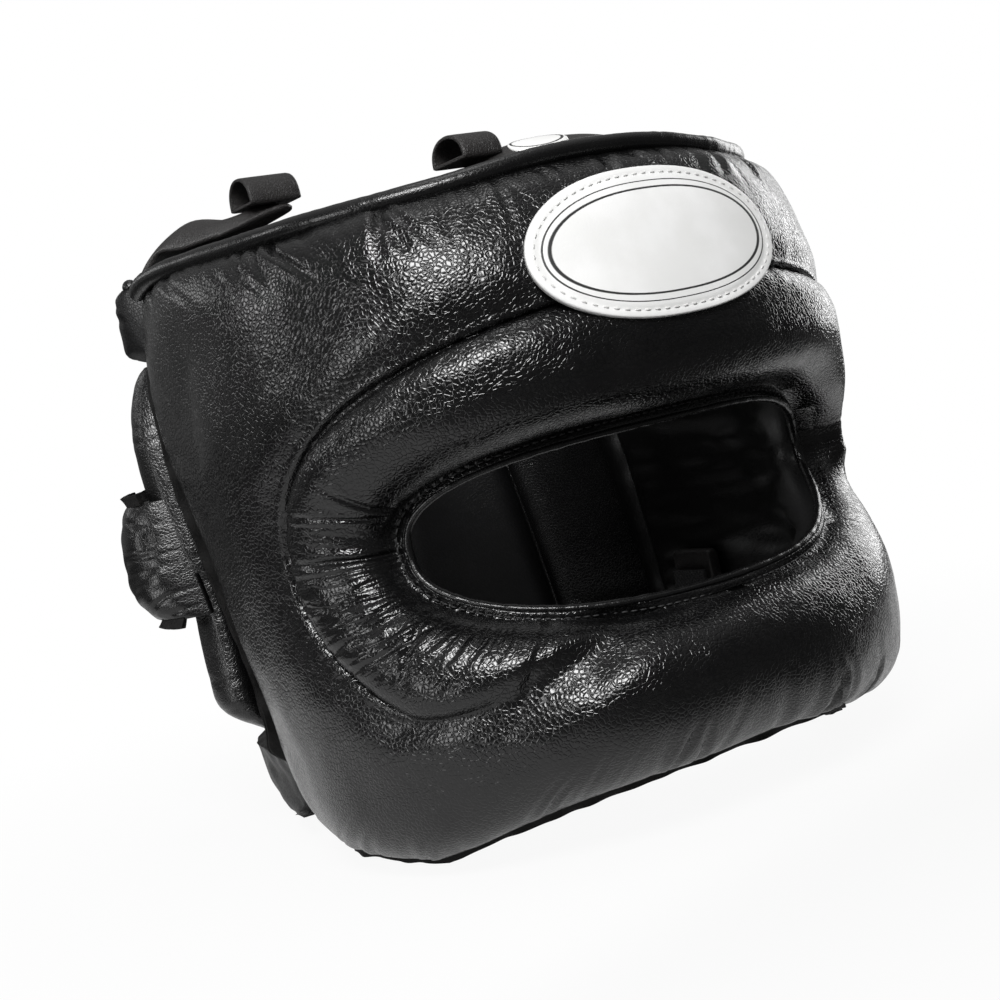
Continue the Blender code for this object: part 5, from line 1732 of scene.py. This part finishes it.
def make_belt_loop(name, place):
    """Arched belt loop: a flat profile carried round a half oval and its foot, with its passage along X."""
    width, height = LOOP_SIZES[name]
    turn = np.linspace(0.0, math.pi, 60)
    arch = np.stack([-np.cos(turn) * LOOP_LENGTH / 2.0, np.sin(turn) ** 0.8 * height], axis=-1)
    foot = np.stack([np.linspace(0.96, -0.96, 26) * LOOP_LENGTH / 2.0, np.zeros(26)], axis=-1)
    line = np.concatenate([arch, foot])
    centre = np.array([0.0, height / 2.0])
    line = centre + (line - centre) * (1.0 - LOOP_THICKNESS / np.array([LOOP_LENGTH, height]))
    path = np.stack([np.zeros(len(line)), line[:, 0], line[:, 1]], axis=-1) + np.array(place)
    middle = path.mean(axis=0)
    loops = tube_loops(path, path - middle, width / 2.0, LOOP_THICKNESS / 2.0, True, 28, 9.0)
    loop = mesh_piece("belt_loop_" + name, loops, loop_quads(*loops.shape[:2], True), STRAP_LEATHER)
    dress(loop, "flap_" + name, ("crown_loop_" + name,))


def make_label(middle, half, reach, rise, steepness, swell):
    """Small bare oval label on the front tongue, a polar grid over a rounded edge."""
    turn, share = oval_grid(LABEL_ROWS, LABEL_COLUMNS)
    across = LABEL_HALF_WIDTH * share * np.cos(turn)
    deep = LABEL_HALF_DEPTH * share * np.sin(turn)
    angle = middle + LABEL_SHARE * half + across / (FOREHEAD_REACH - CROWN_LEAN)
    inward = LABEL_INWARD - deep
    row = (angle - middle) / half
    width = flap_width(row)
    along = (inward / reach / width) ** (1.0 / FLAP_BEND)
    lift = flap_rise(row, rise, swell) * width * flap_lift(along, steepness) + CLEARANCE
    soft = 0.3 + 0.7 * rounded_edge(share, 0.08)
    top = flap_point(angle, inward, lift + LABEL_THICKNESS * soft)
    loops = facing(top, flap_point(angle, inward, lift - LABEL_SUNK))
    flat = np.stack([across, deep], axis=-1)
    quads = loop_quads(*loops.shape[:2], True)
    label = mesh_piece("bare_size_label", loops, quads, LABEL, facing(flat, flat))
    weld(label)
    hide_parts("size_label")
    fold_over(label, "front")


def make_crown():
    """Three tongues inside the rim, each with its belt loop, and the label on the front one."""
    front = (FRONT_FLAP_ANGLE, FRONT_FLAP_HALF, FRONT_FLAP_REACH, FRONT_FLAP_RISE)
    left = (-REAR_FLAP_ANGLE, REAR_FLAP_HALF, REAR_FLAP_REACH, LEFT_FLAP_RISE)
    right = (REAR_FLAP_ANGLE, REAR_FLAP_HALF, REAR_FLAP_REACH, RIGHT_FLAP_RISE)
    flaps = {
        "front": (*front, FRONT_FLAP_STEEPNESS, FRONT_FLAP_SWELL),
        "left": (*left, REAR_FLAP_STEEPNESS, 0.0),
        "right": (*right, REAR_FLAP_STEEPNESS, 0.0),
    }
    seats = {
        "front": (FRONT_LOOP_SHARE, FRONT_LOOP_INWARD),
        "left": (0.0, REAR_LOOP_INWARD),
        "right": (0.0, REAR_LOOP_INWARD),
    }
    for seed, (name, sizes) in enumerate(flaps.items()):
        make_flap(name, *sizes, 241 + seed)
        middle, half, _, rise, *_ = sizes
        share, inward = seats[name]
        angle = middle + half * share
        beside = angle + LOOP_SIZES[name][0] / 2.0 / (SEAM_HALF_WIDTH - inward)
        lift = rise + CLEARANCE + max(rim_level(beside) - rim_level(angle), 0.0)
        make_belt_loop(name, flap_point(angle, inward, lift))
    make_label(*flaps["front"])


def make_chin_strap():
    """Webbing from cheek to cheek: a flat profile along a hanging curve, with its slider and anchors."""
    hollow = ANCHOR_LENGTH**2 / (8.0 * SEAM_HALF_WIDTH)
    wall = float(half_width(CHIN_STRAP_LEVEL - ANCHOR_HEIGHT / 2.0)) - PAD_IN - hollow - 2.0 * CLEARANCE
    span = wall - ANCHOR_DEPTH - CLEARANCE - CHIN_STRAP_THICKNESS / 2.0
    turn = np.linspace(0.0, math.pi, 200)
    x = -span * signed_power(np.cos(turn), CHIN_SPAN_POWER)
    z = CHIN_STRAP_LEVEL - CHIN_STRAP_DROP * np.sin(turn) ** CHIN_DROP_POWER
    path = np.stack([x, 0.0 * turn, z], axis=-1)
    tangent = path_frame(path)
    tangent[0] = (0.0, 0.0, -1.0)
    tangent[-1] = (0.0, 0.0, 1.0)
    lift = np.cross(np.array([0.0, 1.0, 0.0]), tangent)
    around = (np.arange(40) + 0.5) / 40.0 * 2.0 * math.pi
    across, high = outline(around, FLAT_PROFILE)
    wide = (CHIN_STRAP_WIDTH / 2.0 * across)[None, :, None] * np.array([0.0, 1.0, 0.0])
    loops = path[:, None] + wide + lift[:, None] * (CHIN_STRAP_THICKNESS / 2.0 * high)[None, :, None]
    uv = np.stack(np.broadcast_arrays(path_length(path)[:, None], CHIN_STRAP_WIDTH / 2.0 * across), axis=-1)
    strap = mesh_piece("chin_webbing", loops, loop_quads(*loops.shape[:2]), WEBBING, uv, sharp=60.0)
    dress(strap, "chin", ("chin_strap",))

    wide = CHIN_STRAP_WIDTH / 2.0 + CLEARANCE + SLIDER_WIRE
    tall = CHIN_STRAP_THICKNESS / 2.0 + CLEARANCE + SLIDER_WIRE
    turn = np.linspace(0.0, 2.0 * math.pi, 140, endpoint=False)
    across, up = outline(turn, FLAT_PROFILE)
    low = CHIN_STRAP_LEVEL - CHIN_STRAP_DROP
    path = np.stack([0.0 * turn, wide * across, low + tall * up], axis=-1)
    loops = tube_loops(path, np.array([1.0, 0.0, 0.0]), SLIDER_WIRE, SLIDER_WIRE, True, TRIM_SIDES)
    slider = mesh_piece("strap_slider_wire", loops, loop_quads(*loops.shape[:2], True), WIRE)
    dress(slider, "chin", ("strap_slider",))

    for name, side in (("left", -1), ("right", 1)):
        rows = np.sin(np.linspace(-1.0, 1.0, 40) * math.pi / 2.0)
        x = np.full(40, side * (wall - ANCHOR_DEPTH / 2.0))
        path = np.stack([x, rows * ANCHOR_LENGTH / 2.0, np.full(40, CHIN_STRAP_LEVEL)], axis=-1)
        ends = (1.0 - np.abs(rows) ** 10) ** 0.1 * 0.999 + 0.001
        wide = ANCHOR_DEPTH / 2.0 * ends
        tall = ANCHOR_HEIGHT / 2.0 * ends
        loops = tube_loops(path, np.array([0.0, 0.0, 1.0]), wide, tall, False, 40, 5.0)
        tab = mesh_piece("chin_tab_" + name, loops, loop_quads(*loops.shape[:2]), STRAP_LEATHER)
        dress(tab, "front", ("chin_anchor_" + name,))


def make_gussets():
    """Soft leather behind each side seam: a strip from front to rear half that bows inwards by a sine.

    Each one's way across the seam, at half its height, is worked out from its joint's axis, but the strip
    does not bend.
    """
    z, share = np.broadcast_arrays(np.linspace(*GUSSET_LEVELS, 120)[:, None], np.linspace(0.0, 1.0, 22))
    reach = GUSSET_REACH / SEAM_HALF_WIDTH
    angle = -(seam_angle(z) - reach + (SEAM_ALLOWANCE / SEAM_HALF_WIDTH + 2.0 * reach) * share)
    bow = np.sin(math.pi * share)
    seam = padded_point(-(seam_angle(GUSSET_MIDDLE) + wing_front(GUSSET_MIDDLE)) / 2.0, GUSSET_MIDDLE, 0.0)
    for name, side, seed in (("left", -1, 261), ("right", 1, 271)):
        height = GUSSET_LIFT + (uneven(z[..., None], seed, GUSSET_SAG) - GUSSET_BOW) * bow
        outer = padded_point(angle, z, height + GUSSET_THICKNESS / 2.0)
        inner = padded_point(angle, z, height - GUSSET_THICKNESS / 2.0)
        loops = mirrored(facing(outer, inner), side)
        gusset = mesh_piece("side_gusset_" + name, loops, loop_quads(*loops.shape[:2]), LINING)
        joint = next(j for j in frame["joints"] if j["name"] == "wing_" + name + "_open")
        middle = mirrored(seam, side)
        inward = middle * np.array([-1.0, -1.0, 0.0])
        across = np.cross(np.array(joint["axis"], float), inward / np.linalg.norm(inward))
        across = across * np.sign(across[1]) / np.linalg.norm(across) * GUSSET_BEND
        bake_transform(gusset)


def direction(azimuth, elevation):
    """Unit vector from the object, with the azimuth from the front towards +X."""
    flat = math.cos(elevation)
    return Vector((math.sin(azimuth) * flat, -math.cos(azimuth) * flat, math.sin(elevation)))


def camera_axes():
    """The camera's right, up and back directions, with its roll."""
    back = direction(CAMERA_AZIMUTH, CAMERA_ELEVATION)
    right = Vector((math.cos(CAMERA_AZIMUTH), math.sin(CAMERA_AZIMUTH), 0.0))
    up = back.cross(right)
    rolled = right * math.cos(CAMERA_ROLL) - up * math.sin(CAMERA_ROLL)
    return rolled, right * math.sin(CAMERA_ROLL) + up * math.cos(CAMERA_ROLL), back


def make_camera():
    """Camera at the photograph's place, roll and lens."""
    data = bpy.data.cameras.new("photo_camera")
    data.lens = CAMERA_LENS
    data.sensor_width = 36.0
    data.shift_x, data.shift_y = CAMERA_SHIFT
    camera = bpy.data.objects.new("photo_camera", data)
    right, up, back = camera_axes()
    turned = Matrix((right, up, back)).transposed().to_4x4()
    camera.matrix_world = Matrix.Translation(CAMERA_TARGET + back * CAMERA_DISTANCE) @ turned
    bpy.context.scene.collection.objects.link(camera)
    bpy.context.scene.camera = camera


def softbox(name, azimuth, elevation, distance, size, power):
    """A flat lamp aimed at the object from a direction in degrees."""
    data = bpy.data.lights.new(name, "AREA")
    data.shape = "RECTANGLE"
    data.size, data.size_y = size
    data.energy = power
    lamp = bpy.data.objects.new(name, data)
    away = direction(math.radians(azimuth), math.radians(elevation))
    lamp.location = CAMERA_TARGET + away * distance
    lamp.rotation_euler = away.to_track_quat("Z", "Y").to_euler()
    bpy.context.scene.collection.objects.link(lamp)


def make_world():
    """Dim surround, paler behind and overhead, and white to the camera and where gloss shows the backdrop."""
    paint = Paint("studio", bpy.data.worlds, "Background")
    heading = paint.node("ShaderNodeTexCoord", out="Generated")
    behind = paint.reach("DOT_PRODUCT", heading, (0.0, 1.0, 0.0))
    overhead = paint.reach("DOT_PRODUCT", heading, (0.0, 0.0, 1.0))
    backdrop = paint.reach("DOT_PRODUCT", heading, BACKDROP)
    level = paint.between(behind, -0.55, 0.45, 0.07, 0.17) + paint.between(overhead, 0.45, 0.95, 0.0, 0.30)
    backdrop = paint.between(backdrop, 0.84, 0.98)
    white = paint.seen("Is Camera Ray") + paint.seen("Is Glossy Ray", "Is Transmission Ray") * backdrop
    level = level + white * (1.0 - level)
    paint.set(Color=paint.mix(level, (0.0, 0.0, 0.0, 1.0), (1.0, 1.0, 1.0, 1.0)), Strength=1.0)
    bpy.context.scene.world = paint.made


def make_floor():
    """Pale ground: white to the camera with the object's shadow. Its colour is painted dark further out and
    in front, a painted shade that shows in reflections.
    """
    half = FLOOR_HALF
    corners = [(-half, -half, 0.0), (half, -half, 0.0), (half, half, 0.0), (-half, half, 0.0)]
    mesh = bpy.data.meshes.new("floor")
    mesh.from_pydata(corners, [], [(0, 1, 2, 3)])
    paint = Paint("pale_floor")
    place = paint.place()
    distance = paint.reach("LENGTH", place)
    ahead = paint.reach("DOT_PRODUCT", place, FLOOR_AHEAD)
    # painted shade: the floor's colour darkens further out and in front, and its glow in gloss fades with it
    painted_floor_shade = paint.between(distance, 0.30, 0.65) + paint.between(ahead, 0.10, 0.20)
    painted_floor_shade = paint.between(painted_floor_shade, 0.0, 1.0)
    paint.set(Base_Color=paint.mix(painted_floor_shade, (0.66, 0.66, 0.66, 1.0), (0.06, 0.06, 0.06, 1.0)), Roughness=0.8)
    share = paint.seen("Is Camera Ray") * paint.between(distance, 0.10, 0.44, 0.93, 1.0)
    share = share + paint.seen("Is Glossy Ray", "Is Transmission Ray") * (1.0 - painted_floor_shade) * 0.4
    glow = paint.node("ShaderNodeEmission", None, {"Color": (1.0, 1.0, 1.0, 1.0), "Strength": 1.0})
    lit = Socket(paint, paint.shader.outputs["BSDF"])
    mixed = paint.node("ShaderNodeMixShader", None, {0: share, 1: lit, 2: glow})
    output = paint.tree.nodes["Material Output"]
    paint.tree.links.new(mixed.output, output.inputs["Surface"])
    mesh.materials.append(paint.made)
    floor = bpy.data.objects.new("floor", mesh)
    bpy.context.scene.collection.objects.link(floor)


def make_studio():
    """Camera, surround, floor and lamps, each lamp with its azimuth, elevation, distance, size and power."""
    bpy.context.scene.view_settings.view_transform = "Standard"
    make_camera()
    make_world()
    make_floor()
    softbox("key", -35.0, 38.0, 1.20, (0.52, 0.34), 13.4)
    softbox("left_low", -75.0, 8.0, 1.30, (0.34, 0.50), 2.8)
    softbox("left_high", -112.0, 26.0, 1.30, (0.24, 0.32), 1.3)
    softbox("rear_left", -152.0, 23.0, 1.30, (0.60, 0.18), 0.5)
    softbox("right_edge", 101.0, 14.0, 1.30, (0.40, 0.80), 4.4)
    softbox("top", 20.0, 84.0, 1.40, (0.50, 0.50), 2.0)


make_front_pad()
make_front_lining()
make_eye_trims()
make_rim_roll()
make_welts()
make_badge()
make_rear_pads()
make_ear_guards()
make_ear_rolls()
make_rear_pipings()
make_closure()
make_crown()
make_chin_strap()
make_gussets()
make_studio()
